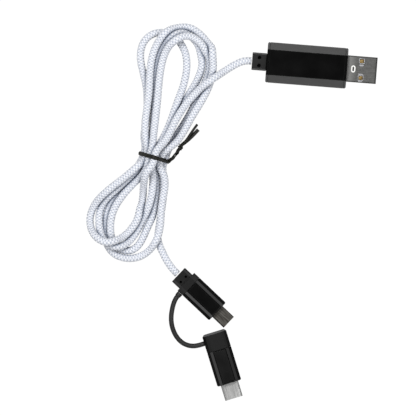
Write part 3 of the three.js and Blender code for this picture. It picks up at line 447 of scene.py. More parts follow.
def tube_mesh(name, line, radius, sides, uv=None):
    """A round tube: the radius may be a number or a grid [along, around]."""
    _, across, up = carried_frames(line)
    angle = angles(sides)
    ring = np.cos(angle)[None, :, None] * across[:, None] + np.sin(angle)[None, :, None] * up[:, None]
    size = np.broadcast_to(radius, (len(line), sides))
    return grid_mesh(name, line[:, None] + size[..., None] * ring, uv=uv)


def finished(piece, finish, body, replaces=(), slot=None):
    """Gives a piece its material and body, and hides the CAD nodes that it stands for; the slot is not used.
    """
    piece.data.materials.clear()
    piece.data.materials.append(MATERIALS[finish])
    slot or finish
    if body is not None:
        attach(piece, body)
    if replaces:
        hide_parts(*replaces)
    return piece


BEVEL_ANGLE = 20  # degrees; flatter edges stay as they are


def softened(node, width):
    """A copy of a CAD piece, merged, with its flat faces joined and its edges rounded."""
    source = frame["nodes"][node]
    mesh = source.data.copy()
    mesh.name = node + "_finished"
    work = bmesh.new()
    work.from_mesh(mesh)
    bmesh.ops.remove_doubles(work, verts=work.verts, dist=1e-6)
    bmesh.ops.dissolve_limit(
        work, angle_limit=math.radians(1), verts=work.verts, edges=work.edges
    )
    bmesh.ops.connect_verts_concave(work, faces=work.faces)
    work.to_mesh(mesh)
    work.free()
    mesh.materials.clear()
    piece = added(node + "_finished", mesh)
    bevel = piece.modifiers.new("edges", "BEVEL")
    bevel.width = width * MM
    bevel.segments = 2
    bevel.limit_method = "ANGLE"
    bevel.angle_limit = math.radians(BEVEL_ANGLE)
    mesh.polygons.foreach_set("use_smooth", np.zeros(len(mesh.polygons), bool))
    return piece


# ---------------------------------------------------------------- materials


def new_material(name):
    material = bpy.data.materials.new(name)
    material.use_nodes = True
    nodes, links = nodes_of(material.node_tree)
    out = nodes.new("ShaderNodeOutputMaterial")
    shader = nodes.new("ShaderNodeBsdfPrincipled")
    links.new(shader.outputs[0], out.inputs[0])
    return material, nodes, links, shader


def new_group(name, inputs, outputs):
    """A node group: inputs are (label, socket kind, value), and every output is a float."""
    group = bpy.data.node_groups.new(name, "ShaderNodeTree")
    for label, kind, value in inputs:
        socket = group.interface.new_socket(label, in_out="INPUT", socket_type=kind)
        socket.default_value = value
    for label in outputs:
        group.interface.new_socket(label, in_out="OUTPUT", socket_type="NodeSocketFloat")
    given = group.nodes.new("NodeGroupInput")
    result = group.nodes.new("NodeGroupOutput")
    return group, group.nodes, group.links, given, result


def grain_group():
    """Fine moulded grain: a value that varies slowly, and a height that varies fast."""
    sizes = [("Scale", "NodeSocketFloat", 900.0), ("Patch Scale", "NodeSocketFloat", 120.0)]
    group, nodes, links, given, result = new_group("moulded_grain", sizes, ["Patch", "Height"])
    where = nodes.new("ShaderNodeTexCoord")
    fine = nodes.new("ShaderNodeTexNoise")
    coarse = nodes.new("ShaderNodeTexNoise")
    fine.inputs["Detail"].default_value = 3
    coarse.inputs["Detail"].default_value = 2
    for texture, label, target in [(fine, "Scale", "Height"), (coarse, "Patch Scale", "Patch")]:
        links.new(where.outputs["Object"], texture.inputs["Vector"])
        links.new(given.outputs[label], texture.inputs["Scale"])
        links.new(texture.outputs["Fac"], result.inputs[target])
    return group


def brushed_group():
    """Fine lines along one direction: noise stretched along X after a turn about Z."""
    turn = ("Turn", "NodeSocketVector", (0, 0, 0))
    group, nodes, links, given, result = new_group("brushed_lines", [turn], ["Lines"])
    where = nodes.new("ShaderNodeTexCoord")
    rotate = nodes.new("ShaderNodeMapping")
    stretch = nodes.new("ShaderNodeMapping")
    stretch.inputs["Scale"].default_value = (160, 3200, 3200)
    noise = nodes.new("ShaderNodeTexNoise")
    noise.inputs["Scale"].default_value = 1.0
    noise.inputs["Detail"].default_value = 4
    links.new(where.outputs["Object"], rotate.inputs["Vector"])
    links.new(given.outputs["Turn"], rotate.inputs["Rotation"])
    links.new(rotate.outputs[0], stretch.inputs["Vector"])
    links.new(stretch.outputs[0], noise.inputs["Vector"])
    links.new(noise.outputs["Fac"], result.inputs["Lines"])
    return group


def braid_group():
    """Two families of slanting bands of yarn, one over and one under, on the cord's UV map.

    Each band's height is the sine of its place across, and a checker of band numbers says
    which family is on top. Gap is high between bands, and Pit where the skin dips most."""
    labels = ["Height", "Gap", "Ply", "Pit"]
    group, nodes, links, _, result = new_group("braided_yarn", [], labels)
    where = nodes.new("ShaderNodeUVMap")
    split = nodes.new("ShaderNodeSeparateXYZ")
    links.new(where.outputs[0], split.inputs[0])

    def maths(kind, *values):
        return calc(nodes, links, kind, *values)

    right = maths("ADD", split.outputs["X"], split.outputs["Y"])
    left = maths("SUBTRACT", split.outputs["X"], split.outputs["Y"])
    crown_right = maths("SINE", maths("MULTIPLY", maths("FRACT", right), math.pi))
    crown_left = maths("SINE", maths("MULTIPLY", maths("FRACT", left), math.pi))
    parity = maths("MODULO", maths("ADD", maths("FLOOR", right), maths("FLOOR", left)), 2.0)
    over = maths("ABSOLUTE", parity)
    under = maths("SUBTRACT", 1.0, over)
    top = maths("ADD", maths("MULTIPLY", over, crown_right), maths("MULTIPLY", under, crown_left))
    both = maths("MULTIPLY", crown_right, crown_left)
    height = maths("ADD", maths("MULTIPLY", top, 0.6), maths("MULTIPLY", both, 0.4))
    along = maths("ADD", maths("MULTIPLY", over, left), maths("MULTIPLY", under, right))
    ply = maths("SINE", maths("MULTIPLY", along, 2 * math.pi * 3))
    waves = [
        maths("COSINE", maths("MULTIPLY", split.outputs[axis], 2 * math.pi)) for axis in "XY"
    ]
    pit = maths("MULTIPLY_ADD", maths("MULTIPLY", *waves), 0.5, 0.5)
    links.new(height, result.inputs["Height"])
    links.new(pit, result.inputs["Pit"])
    links.new(maths("POWER", maths("SUBTRACT", 1.0, both), 6.0), result.inputs["Gap"])
    links.new(ply, result.inputs["Ply"])
    return group


GRAIN = grain_group()
BRUSHED = brushed_group()
BRAID = braid_group()


def use_group(nodes, tree, **values):
    node = nodes.new("ShaderNodeGroup")
    node.node_tree = tree
    for label, value in values.items():
        node.inputs[label.replace("_", " ")].default_value = value
    return node


def ramp_between(nodes, links, factor, stops):
    ramp = nodes.new("ShaderNodeValToRGB")
    elements = ramp.color_ramp.elements
    while len(elements) < len(stops):
        elements.new(0.5)
    for element, (position, colour) in zip(elements, stops):
        element.position = position
        element.color = (*colour, 1)
    links.new(factor, ramp.inputs[0])
    return ramp.outputs[0]


def spread(nodes, links, value, low, high):
    """Maps a 0 to 1 value to low to high."""
    node = nodes.new("ShaderNodeMapRange")
    node.inputs["To Min"].default_value = low
    node.inputs["To Max"].default_value = high
    links.new(value, node.inputs["Value"])
    return node.outputs[0]


def bumped(nodes, links, shader, height, strength, distance):
    bump = nodes.new("ShaderNodeBump")
    bump.inputs["Strength"].default_value = strength
    bump.inputs["Distance"].default_value = distance
    links.new(height, bump.inputs["Height"])
    links.new(bump.outputs[0], shader.inputs["Normal"])


def moulded(name, dark, light, rough, metal=0.0, grain=900.0, bump=0.15, coat=0.0, shine=0.5):
    """A moulded or anodised finish: patches of colour and roughness under a fine grain."""
    material, nodes, links, shader = new_material(name)
    grains = use_group(nodes, GRAIN, Scale=grain)
    colour = ramp_between(nodes, links, grains.outputs["Patch"], [(0.3, dark), (0.7, light)])
    links.new(colour, shader.inputs["Base Color"])
    rough_value = spread(nodes, links, grains.outputs["Patch"], rough - 0.05, rough + 0.05)
    links.new(rough_value, shader.inputs["Roughness"])
    shader.inputs["Metallic"].default_value = metal
    shader.inputs["Coat Weight"].default_value = coat
    shader.inputs["Specular IOR Level"].default_value = shine
    bumped(nodes, links, shader, grains.outputs["Height"], bump, 0.02 * MM)
    return material


def along_y(nodes, links, origin, turn, low, high, signed=False):
    """0 to 1 as the distance from a housing's middle line goes from low to high, in mm.

    The distance counts on both sides alike, or by its sign."""
    where = nodes.new("ShaderNodeTexCoord")
    local = nodes.new("ShaderNodeMapping")
    local.vector_type = "TEXTURE"
    local.inputs["Location"].default_value = (origin[0] * MM, origin[1] * MM, 0)
    local.inputs["Rotation"].default_value = (0, 0, turn)
    split = nodes.new("ShaderNodeSeparateXYZ")
    step = nodes.new("ShaderNodeMapRange")
    step.inputs["From Min"].default_value = low * MM
    step.inputs["From Max"].default_value = high * MM
    links.new(where.outputs["Object"], local.inputs["Vector"])
    links.new(local.outputs[0], split.inputs[0])
    distance = split.outputs["Y"]
    if not signed:
        distance = calc(nodes, links, "ABSOLUTE", distance)
    links.new(distance, step.inputs["Value"])
    return step.outputs[0]


def mixed(nodes, links, factor, first, second):
    """Mixes two colours or colour sockets."""
    node = nodes.new("ShaderNodeMix")
    node.data_type = "RGBA"
    links.new(factor, node.inputs["Factor"])
    for label, value in (("A", first), ("B", second)):
        socket = [one for one in node.inputs if one.name == label and one.type == "RGBA"][0]
        if isinstance(value, tuple):
            socket.default_value = (*value, 1)
        else:
            links.new(value, socket)
    return [one for one in node.outputs if one.type == "RGBA"][0]


def stepped(nodes, links, steps):
    """A value that changes at each step: steps are (factor socket or None, value)."""
    current = None
    for factor, value in steps:
        if factor is None:
            current = value
            continue
        node = nodes.new("ShaderNodeMix")
        links.new(factor, node.inputs["Factor"])
        if isinstance(current, float):
            node.inputs["A"].default_value = current
        else:
            links.new(current, node.inputs["A"])
        node.inputs["B"].default_value = value
        current = node.outputs[0]
    return current


def faceted(name, origin, turn, bands, side_shade_factor=1.0, grain=1500.0, rim=None):
    """Black whose facets are painted lighter or darker for how the light falls on them: bands are (distance
    from the middle, painted shade, shine, roughness).

    The side toward +Y has its shade times a side factor, which paints that side darker or lighter. A rim is a
    width at the end where the origin is, and its painted highlight."""
    material, nodes, links, shader = new_material(name)
    grains = use_group(nodes, GRAIN, Scale=grain)
    lines = use_group(nodes, BRUSHED, Turn=(0, 0, -turn))
    shades, shines, roughs = [], [], []
    # Each band's shade is painted light and shade for that facet.
    for edge, shade, shine, rough in bands:
        beyond = None
        if edge:
            beyond = along_y(nodes, links, origin, turn, edge - 0.06, edge + 0.06)
        shades.append((beyond, shade))
        shines.append((beyond, shine))
        roughs.append((beyond, rough))
    shade = stepped(nodes, links, shades)
    # Painted light and shade: one side is made darker or lighter than the other.
    side = along_y(nodes, links, origin, turn, -0.5, 0.5, signed=True)
    factors = [
        spread(nodes, links, lines.outputs["Lines"], 0.75, 1.25),
        spread(nodes, links, side, 1.0, side_shade_factor),
    ]
    for factor in factors:
        shade = calc(nodes, links, "MULTIPLY", shade, factor)
    # Painted highlight on the bevel at the end.
    if rim:
        reach, rim_highlight = rim
        near = along_y(nodes, links, origin, turn + math.pi / 2, reach + 0.06, reach - 0.06)
        shade = stepped(nodes, links, [(None, shade), (near, rim_highlight)])
        shines.append((near, 0.5))
    links.new(shade, shader.inputs["Base Color"])
    links.new(stepped(nodes, links, shines), shader.inputs["Specular IOR Level"])
    links.new(stepped(nodes, links, roughs), shader.inputs["Roughness"])
    bumped(nodes, links, shader, grains.outputs["Height"], 0.15, 0.02 * MM)
    return material


def plug_plate(name):
    """Dark nickel, speckled, with painted shade along its rolled edges and at its tip, and a painted
    highlight toward its root.
    """
    material, nodes, links, shader = new_material(name)
    lines = use_group(nodes, BRUSHED, Turn=(0, 0, 0))
    grains = use_group(nodes, GRAIN, Scale=2600.0)
    speckle = calc(nodes, links, "MULTIPLY", grains.outputs["Height"], 0.6)
    blend = calc(nodes, links, "MULTIPLY_ADD", lines.outputs["Lines"], 0.4, speckle)
    plain = ramp_between(
        nodes, links, blend, [(0.32, (0.058, 0.058, 0.056)), (0.68, (0.14, 0.14, 0.136))]
    )
    # Painted shade along the rolled side edges and at the tip; painted highlight toward the root.
    side = along_y(nodes, links, (0, 0), 0, 5.3, 5.8)
    tip = along_y(nodes, links, (0, 0), math.pi / 2, 27.6, 27.9)
    root = along_y(nodes, links, (0, 0), math.pi / 2, 19.0, 15.5)
    plain = mixed(nodes, links, root, plain, (0.2, 0.2, 0.195))
    shaded_plate = mixed(nodes, links, side, plain, (0.05, 0.05, 0.048))
    shaded_plate = mixed(nodes, links, tip, shaded_plate, (0.035, 0.035, 0.034))
    links.new(shaded_plate, shader.inputs["Base Color"])
    shader.inputs["Metallic"].default_value = 0.85
    links.new(spread(nodes, links, blend, 0.42, 0.62), shader.inputs["Roughness"])
    bumped(nodes, links, shader, blend, 0.35, 0.015 * MM)
    return material


def brushed(name, dark, light, rough, turn):
    """Plated metal with fine drawn lines."""
    material, nodes, links, shader = new_material(name)
    lines = use_group(nodes, BRUSHED, Turn=(0, 0, turn))
    colour = ramp_between(nodes, links, lines.outputs["Lines"], [(0.3, dark), (0.7, light)])
    links.new(colour, shader.inputs["Base Color"])
    rough_value = spread(nodes, links, lines.outputs["Lines"], rough - 0.08, rough + 0.1)
    links.new(rough_value, shader.inputs["Roughness"])
    shader.inputs["Metallic"].default_value = 1.0
    bumped(nodes, links, shader, lines.outputs["Lines"], 0.25, 0.01 * MM)
    return material


def braided():
    """White nylon yarn, with painted shade in the gaps between its bands, in the pits between its pips and in
    the grooves between strands.
    """
    material, nodes, links, shader = new_material("white_braid")
    yarn = use_group(nodes, BRAID)
    # Painted shade: the colour darkens toward the gaps between the bands.
    colour = ramp_between(
        nodes,
        links,
        yarn.outputs["Gap"],
        [(0.0, (0.76, 0.775, 0.82)), (0.4, (0.70, 0.73, 0.80)), (1.0, (0.22, 0.26, 0.34))],
    )
    # Painted shade: the pits between the pips are darkened.
    dip = calc(nodes, links, "POWER", yarn.outputs["Pit"], 2.0)
    pit_shade = spread(nodes, links, dip, 0.0, 0.62)
    colour = mixed(nodes, links, pit_shade, colour, (0.33, 0.37, 0.45))
    # Painted shade between strands, read from the cord's attribute.
    groove_shade = nodes.new("ShaderNodeAttribute")
    groove_shade.attribute_name = "groove_shade"
    shade = calc(nodes, links, "POWER", groove_shade.outputs["Fac"], 1.6)
    colour = mixed(nodes, links, shade, colour, (0.16, 0.2, 0.28))
    links.new(colour, shader.inputs["Base Color"])
    shader.inputs["Roughness"].default_value = 0.75
    shader.inputs["Sheen Weight"].default_value = 0.25
    total = calc(nodes, links, "MULTIPLY_ADD", yarn.outputs["Ply"], 0.12, yarn.outputs["Height"])
    bumped(nodes, links, shader, total, 0.8, 0.15 * MM)
    return material


MICRO = (-35.2, -115.0)  # middle of the micro-USB body's front face, in mm
MICRO_TURN = math.radians(38.9)
ADAPTER_PLACE = (-36.2, -124.4)  # middle of the adapter's socket face
ADAPTER_TURN = math.radians(68.4)

def grey(value):
    return (value, value, value)


MOULDED = {
    "adapter_gloss": dict(dark=grey(0.004), light=grey(0.006), rough=0.25, grain=400.0, bump=0.05, shine=0.3),
    "smoked_window": dict(dark=grey(0.002), light=grey(0.004), rough=0.12, grain=200.0, bump=0.02, shine=0.3),
    "matte_black": dict(
        dark=(0.008, 0.008, 0.0068), light=(0.014, 0.014, 0.012), rough=0.55,
        grain=2500.0, bump=0.4, shine=0.3,
    ),
    # Lighter copy of the shell's nickel for the window rims and tabs: painted highlight on their raised
    # edges.
    "stamped_edge_highlight": dict(
        dark=(0.26, 0.26, 0.27), light=(0.36, 0.36, 0.37), rough=0.5, metal=0.5, grain=1800.0, bump=0.2
    ),
    "pale_nylon": dict(dark=(0.75, 0.75, 0.72), light=(0.85, 0.85, 0.83), rough=0.5, bump=0.1),
    "black_nylon": dict(
        dark=(0.012, 0.012, 0.013), light=(0.02, 0.02, 0.021), rough=0.45, grain=1200.0, bump=0.2
    ),
    "circuit_board": dict(
        dark=(0.01, 0.1, 0.035), light=(0.03, 0.2, 0.08), rough=0.3, grain=700.0, bump=0.1, coat=0.3
    ),
    "chip_black": dict(
        dark=(0.014, 0.014, 0.015), light=(0.025, 0.025, 0.026), rough=0.5, grain=3000.0, bump=0.4
    ),
    "ceramic_tan": dict(
        dark=(0.3, 0.2, 0.11), light=(0.4, 0.28, 0.16), rough=0.4, grain=1500.0, bump=0.2
    ),
    "display_face": dict(
        dark=(0.025, 0.025, 0.03), light=(0.035, 0.035, 0.04), rough=0.4, grain=800.0, bump=0.1
    ),
    "black_rubber": dict(dark=grey(0.008), light=grey(0.015), rough=0.5, grain=1600.0, bump=0.3, shine=0.3),
    "tie_black": dict(
        dark=(0.005, 0.005, 0.0036), light=(0.010, 0.010, 0.007), rough=0.45,
        grain=1500.0, bump=0.25, shine=0.25,
    ),
    # Near-black with no shine, set where there is only shade: painted shadow in the dimples and seams.
    "shadow_black": dict(dark=grey(0.001), light=grey(0.002), rough=0.9, bump=0.1, shine=0.0),
    "wire_red": dict(dark=(0.4, 0.02, 0.015), light=(0.5, 0.03, 0.02), rough=0.35),
    "wire_white": dict(dark=(0.7, 0.7, 0.66), light=(0.8, 0.8, 0.76), rough=0.35),
    "wire_green": dict(dark=(0.02, 0.22, 0.06), light=(0.03, 0.3, 0.09), rough=0.35),
    "wire_black": dict(dark=grey(0.008), light=grey(0.014), rough=0.35),
}
# Each plated metal: its dark and light, roughness, and the direction of its drawn lines.
PLATED = {
    "nickel_micro": ((0.025, 0.023, 0.02), (0.12, 0.114, 0.104), 0.45, MICRO_TURN),
    "bright_steel": ((0.38, 0.38, 0.375), (0.48, 0.48, 0.475), 0.38, ADAPTER_TURN),
    "gold_contact": ((0.7, 0.45, 0.13), (0.85, 0.58, 0.2), 0.25, 0.0),
    # Gold of the contacts, made darker in the windows: painted shade of the recess.
    "window_gold_shaded": ((0.09, 0.055, 0.015), (0.42, 0.3, 0.13), 0.45, 0.0),
    "copper_crimp": ((0.5, 0.24, 0.12), (0.68, 0.36, 0.2), 0.35, 0.0),
}
METER_FRAME = ((0, 0), 0.0)
MICRO_FRAME = (MICRO, -MICRO_TURN)
ADAPTER_FRAME = (ADAPTER_PLACE, -ADAPTER_TURN)
# Each faceted housing: its place and turn, its bands with each facet's painted shade, and what else differs:
# the side factor that paints one side darker or lighter, the grain, and the rim with its painted highlight.
FACETED = {
    "anodised_housing": (*METER_FRAME, [(0, 0.002, 0.08, 0.2), (5.8, 0.055, 0.5, 0.42)], 1.15),
    "meter_collar": (*METER_FRAME, [(0, 0.009, 0.15, 0.5), (3.3, 0.05, 0.5, 0.5)], 1.2, 2500.0),
    "micro_facets": (
        *MICRO_FRAME, [(0, 0.002, 0.1, 0.25), (2.95, 0.04, 0.5, 0.35), (4.1, 0.003, 0.1, 0.35)], 0.4
    ),
    "micro_end": (*MICRO_FRAME, [(0, 0.008, 0.12, 0.5), (2.9, 0.014, 0.25, 0.5)], 1.0, 2500.0),
    "adapter_facets": (
        *ADAPTER_FRAME, [(0, 0.004, 0.12, 0.3), (3.15, 0.03, 0.3, 0.35), (4.35, 0.002, 0.08, 0.35)], 0.3
    ),
    "adapter_end": (
        *ADAPTER_FRAME, [(0, 0.008, 0.15, 0.4), (3.2, 0.009, 0.15, 0.4), (4.4, 0.003, 0.08, 0.4)],
        1.0, 1500.0, (0.85, 0.09),
    ),
}
MATERIALS = {name: moulded(name, **values) for name, values in MOULDED.items()}
MATERIALS |= {name: brushed(name, *values) for name, values in PLATED.items()}
MATERIALS |= {name: faceted(name, *values) for name, values in FACETED.items()}
MATERIALS["nickel_shell"] = plug_plate("nickel_shell")
MATERIALS["white_braid"] = braided()
FINISH = {
    "micro_usb_shell": "nickel_micro",
    "micro_housing": "micro_facets",
    "micro_collar": "micro_end",
    "rear_collar": "meter_collar",
    "adapter_housing": "adapter_facets",
    "adapter_collar": "adapter_end",
    "adapter_face_top": "adapter_gloss",
    "adapter_face_bottom": "adapter_gloss",
}
SLOTS = {row["node"]: row["material_slot"] for row in frame["record"]["subparts"]}


def dress_frame():
    """Every CAD piece takes the finish of its slot."""
    for name, node in frame["nodes"].items():
        node.data.materials.clear()
        node.data.materials.append(MATERIALS[FINISH.get(name, SLOTS[name])])


# ---------------------------------------------------------------- the cord, tie and tether

BRAID_COLUMNS = 4
BRAID_SIDES = 6 * BRAID_COLUMNS
BRAID_STEP = 0.28  # mm between the rings of the tube
BRAID_PITCH = 5 * BRAID_STEP * MM
BRAID_RELIEF = 0.18 * MM
OWN_STRETCH = 9  # mm each way along the cord that don't count as another strand
SEARCH_REACH = 24 * MM
# GROOVE_OPEN and GROOVE_RANGE set where the painted shade between strands starts and how fast it deepens.
GROOVE_OPEN = 3.3 * MM  # a strand whose middle is farther than this leaves no groove
GROOVE_RANGE = 1.4 * MM
BATCH = 120  # rings that are compared at a time


def painted_groove_shade(line, ring_points):
    """How much painted shade each point of the cord's skin takes from lying between strands, 0 in the open to
    1.

    Takes the distance to the nearest other strand's middle: 1 where the two touch, and 0
    beyond an open gap."""
    spots = line[:: int(1 / BRAID_STEP)]
    place = np.arange(len(line))[:: int(1 / BRAID_STEP)]
    apart = int(OWN_STRETCH / BRAID_STEP)
    depth = np.zeros(ring_points.shape[:2])
    for first in range(0, len(line), BATCH):
        rows = slice(first, min(first + BATCH, len(line)))
        middle = line[rows].mean(axis=0)
        near = np.linalg.norm(spots - middle, axis=1) < SEARCH_REACH
        near_spots, near_place = spots[near], place[near]
        points = ring_points[rows]
        gap = np.linalg.norm(points[:, :, None] - near_spots[None, None], axis=3)
        own = np.abs(np.arange(rows.start, rows.stop)[:, None] - near_place[None]) < apart
        gap = np.where(own[:, None], 1.0, gap)
        nearest = gap.min(axis=2) if near_spots.size else np.ones(points.shape[:2])
        depth[rows] = np.clip((GROOVE_OPEN - nearest) / GROOVE_RANGE, 0, 1)
    return depth


def make_cord():
    """The braided cord: a tube whose skin rises and falls as a checker of small pips.

    The radius falls by the relief times half of one minus the product of two cosines, one
    round the cord and one along it."""
    line = cord_line()
    run = np.arange(len(line)) * BRAID_STEP * MM
    angle = angles(BRAID_SIDES)
    around = -np.cos(BRAID_COLUMNS * angle)
    along = np.cos(2 * np.pi * run / BRAID_PITCH)
    radius = CORD / 2 - BRAID_RELIEF * (1 - along[:, None] * around[None, :]) / 2
    turns = run[-1] / BRAID_PITCH
    cord = tube_mesh("braided_cord", line, radius, BRAID_SIDES, uv=(BRAID_COLUMNS, turns))
    skin = np.empty(len(cord.data.vertices) * 3)
    cord.data.vertices.foreach_get("co", skin)
    skin = skin.reshape(-1, 3)[: len(line) * BRAID_SIDES].reshape(len(line), BRAID_SIDES, 3)
    # Painted shade between strands, stored on the skin as an attribute that darkens the braid's colour.
    depth = np.zeros(len(cord.data.vertices), np.float32)
    depth[: len(line) * BRAID_SIDES] = painted_groove_shade(line, skin).reshape(-1)
    cord.data.attributes.new("groove_shade", "FLOAT", "POINT").data.foreach_set("value", depth)
    solids = ("cord_lead", "cord_hank", "cord_tail")
    finished(cord, "white_braid", CABLE, solids)
    return cord, line


def placed(local, origin, turn):
    """Points of a small housing's own frame, in mm, as points of the part in metres."""
    local = np.asarray(local, float)
    c, n = math.cos(turn), math.sin(turn)
    x = origin[0] + local[..., 0] * c - local[..., 1] * n
    y = origin[1] + local[..., 0] * n + local[..., 1] * c
    return np.stack([x, y, local[..., 2]], -1) * MM


PLUG_LEVEL = 3.7


STRAP_STEP = 0.4  # mm between the rings of the strap
STRAP_SWELL = 0.22  # mm that the strap's root is thicker
STRAP_ROOT = 1.9  # mm from its start
STRAP_SIDE = -5.6  # where both ends leave their housings, across


def make_tether():
    """One rubber strap from the micro-USB body round to the adapter."""
    start = placed([-18.1, STRAP_SIDE, PLUG_LEVEL], MICRO, -MICRO_TURN) / MM
    stop = placed([3.8, STRAP_SIDE, PLUG_LEVEL], ADAPTER_PLACE, -ADAPTER_TURN) / MM
    points = [start[:2], (-54.2, -109.9), (-55.8, -115.2), (-55.9, -120.5), (-53.8, -126.5)]
    points += [(-49.6, -130.6), (-45.0, -131.5), stop[:2]]
    plan = spline(points, np.full(len(points), PLUG_LEVEL), STRAP_STEP)
    line = np.vstack([plan, [*stop[:2], PLUG_LEVEL]]) * MM
    run = np.arange(len(line)) * STRAP_STEP
    swell = STRAP_SWELL * np.clip(STRAP_ROOT - run, 0, STRAP_STEP) / STRAP_STEP
    radius = TETHER / 2 + swell[:, None] * MM
    strap = tube_mesh("tether_strap", line, radius, 24)
    solids = ("tether_plug_half", "tether_adapter_half")
    finished(strap, "black_rubber", None, solids)
    return strap, line


def ribbon(name, line, wide, thin, width, thickness, closed=False):
    """A wire tie: a flat strip with a round wire along its middle."""
    angle = angles(16)
    across = np.cos(angle) * width / 2
    bulge = 0.45 + 0.55 * np.exp(-((across / (0.22 * width)) ** 2))
    lift = np.sin(angle) * thickness / 2 * bulge
    grid = line[:, None] + across[None, :, None] * wide[:, None] + lift[None, :, None] * thin[:, None]
    return grid_mesh(name, grid, wrap_rows=closed)


TIE_WIDTH = 1.8
TIE_THICKNESS = 0.7
END_STEP = 0.3  # mm between the rings of the tie's two ends
TWIST_LENGTH = 10.5  # mm that the ends are twisted together
TWIST_PITCH = 8.4
SPLAY_END = 13.5  # mm from the root where the ends part for good


def waist_hull(line):
    """The closed line just outside every strand at the waist, in the plane across it."""
    points = line / MM
    off = (points[:, :2] - WAIST) @ WAIST_ALONG
    across = (points[:, :2] - WAIST) @ WAIST_ACROSS
    here = (np.abs(off) < TIE_WIDTH / 2) & (np.abs(across) < 14)
    centres = np.column_stack([across[here], points[here, 2]])
    angle = angles(160)
    normal = np.column_stack([np.cos(angle), np.sin(angle)])
    farthest = (centres @ normal.T).argmax(axis=0)
    hull = centres[farthest] + normal * (STRAND / 2 + TIE_THICKNESS / 2)
    hull[:, 1] = np.maximum(hull[:, 1], TIE_THICKNESS / 2)
    looped = np.vstack([hull, hull[:1]])
    run = distance_along(looped)
    even = np.linspace(0, run[-1], 140, endpoint=False)
    return read_at(even, run, looped)


def make_tie(cord_line_points):
    """A wire tie round the waist, its two ends twisted together and splayed."""
    hull = waist_hull(cord_line_points)
    flat = WAIST + hull[:, :1] * WAIST_ACROSS
    line = np.column_stack([flat, hull[:, 1]]) * MM
    wide = np.tile([*WAIST_ALONG, 0.0], (len(line), 1))
    tangent = np.roll(line, -1, axis=0) - np.roll(line, 1, axis=0)
    thin = np.cross(tangent, wide)
    thin /= np.linalg.norm(thin, axis=1)[:, None]
    band = ribbon("tie_band", line, wide, thin, TIE_WIDTH * MM, TIE_THICKNESS * MM, closed=True)
    finished(band, "tie_black", CABLE, ("twist_tie",))
    right = hull[:, 0].max()
    level = float(hull[hull[:, 0].argmax(), 1])
    root = WAIST + (right - 0.2) * WAIST_ACROSS
    ends = [
        [(-55.6, -38.4, 3.2), (-53.4, -34.6, 2.6), (-50.9, -30.5, 2.0)],
        [(-55.2, -38.6, 2.4), (-52.8, -36.0, 1.6), (-50.3, -32.9, 1.1)],
    ]
    for number, end in enumerate(ends):
        middle = [(*root, level), (-60.9, -46.6, 5.2), (-58.8, -43.5, 4.4), (-57.3, -40.8, 3.6)]
        points = np.array(middle + end)
        plan = spline(points[:, :2], points[:, 2], END_STEP)
        run = np.arange(len(plan)) * END_STEP
        tangent, across, up = carried_frames(plan)
        turn = 2 * np.pi * np.minimum(run, TWIST_LENGTH) / TWIST_PITCH + np.pi * number
        aside = np.cos(turn)[:, None] * across + np.sin(turn)[:, None] * up
        over = np.cross(tangent, aside)
        apart = 0.4 * np.clip((SPLAY_END - run) / 3.0, 0, 1)
        line = (plan + apart[:, None] * aside) * MM
        width = (1.15, 1.7)[number]
        tail = ribbon(f"tie_end_{number + 1}", line, over, aside, width * MM, 0.75 * MM)
        finished(tail, "tie_black", CABLE, ("twist_tie",))
        yield tail
    yield make_tie_knot(np.array([-57.9, -41.7, 3.9]), np.array([0.55, 0.8, -0.2]))
    yield band


def make_tie_knot(centre, along):
    """A short loop of the tie drawn tight round its own two ends."""
    along = along / np.linalg.norm(along)
    side = np.cross(along, [0.0, 0.0, 1.0])
    side /= np.linalg.norm(side)
    up = np.cross(side, along)
    turn = np.linspace(0, 2 * np.pi * 1.6, 60)
    reach = 0.85
    line = centre + reach * (np.cos(turn)[:, None] * side + np.sin(turn)[:, None] * up)
    line = (line + along * (turn[:, None] / (2 * np.pi) - 0.8) * 0.9) * MM
    knot = tube_mesh("tie_knot", line, 0.42 * MM, 12)
    return finished(knot, "tie_black", CABLE, ("twist_tie",))


def rounded_square(count, power):
    """A square two wide with rounded corners: the powers of a cosine and a sine, with signs."""
    c, n = np.cos(angles(count)), np.sin(angles(count))
    return np.column_stack([np.sign(c) * np.abs(c) ** power, np.sign(n) * np.abs(n) ** power])


def pad(name, centre, size, height, base):
    """A low rounded pad: rings of a rounded rectangle that shrink as they rise."""
    ring = rounded_square(40, 0.4)
    rings = []
    for scale, rise in [(1.0, -0.2), (1.0, 0.0), (0.96, 0.7), (0.86, 1.0), (0.02, 1.0)]:
        flat = ring * np.array(size) / 2 * scale
        z = np.full((len(ring), 1), base + rise * height)
        rings.append(np.column_stack([flat + centre, z]) * MM)
    return grid_mesh(name, np.array(rings))


def rim(name, centre, size, width, height, base):
    """A raised rim round a window: a low bead that follows a rounded rectangle."""
    ring = rounded_square(64, 0.35)
    grid = np.zeros((64, 10, 3))
    for k, turn in enumerate(angles(10)):
        reach = np.array(size) / 2 + width / 2 * math.cos(turn)
        grid[:, k, :2] = ring * reach + centre
        grid[:, k, 2] = base + height * math.sin(turn)
    return grid_mesh(name, grid * MM, wrap_rows=True)


WINDOW_X = 21.4
WINDOW_Y = 3.85
PLATE_TOP = 7.45
LEAF_DROP = 0.75  # mm from the plate's top down to the leaf in each window


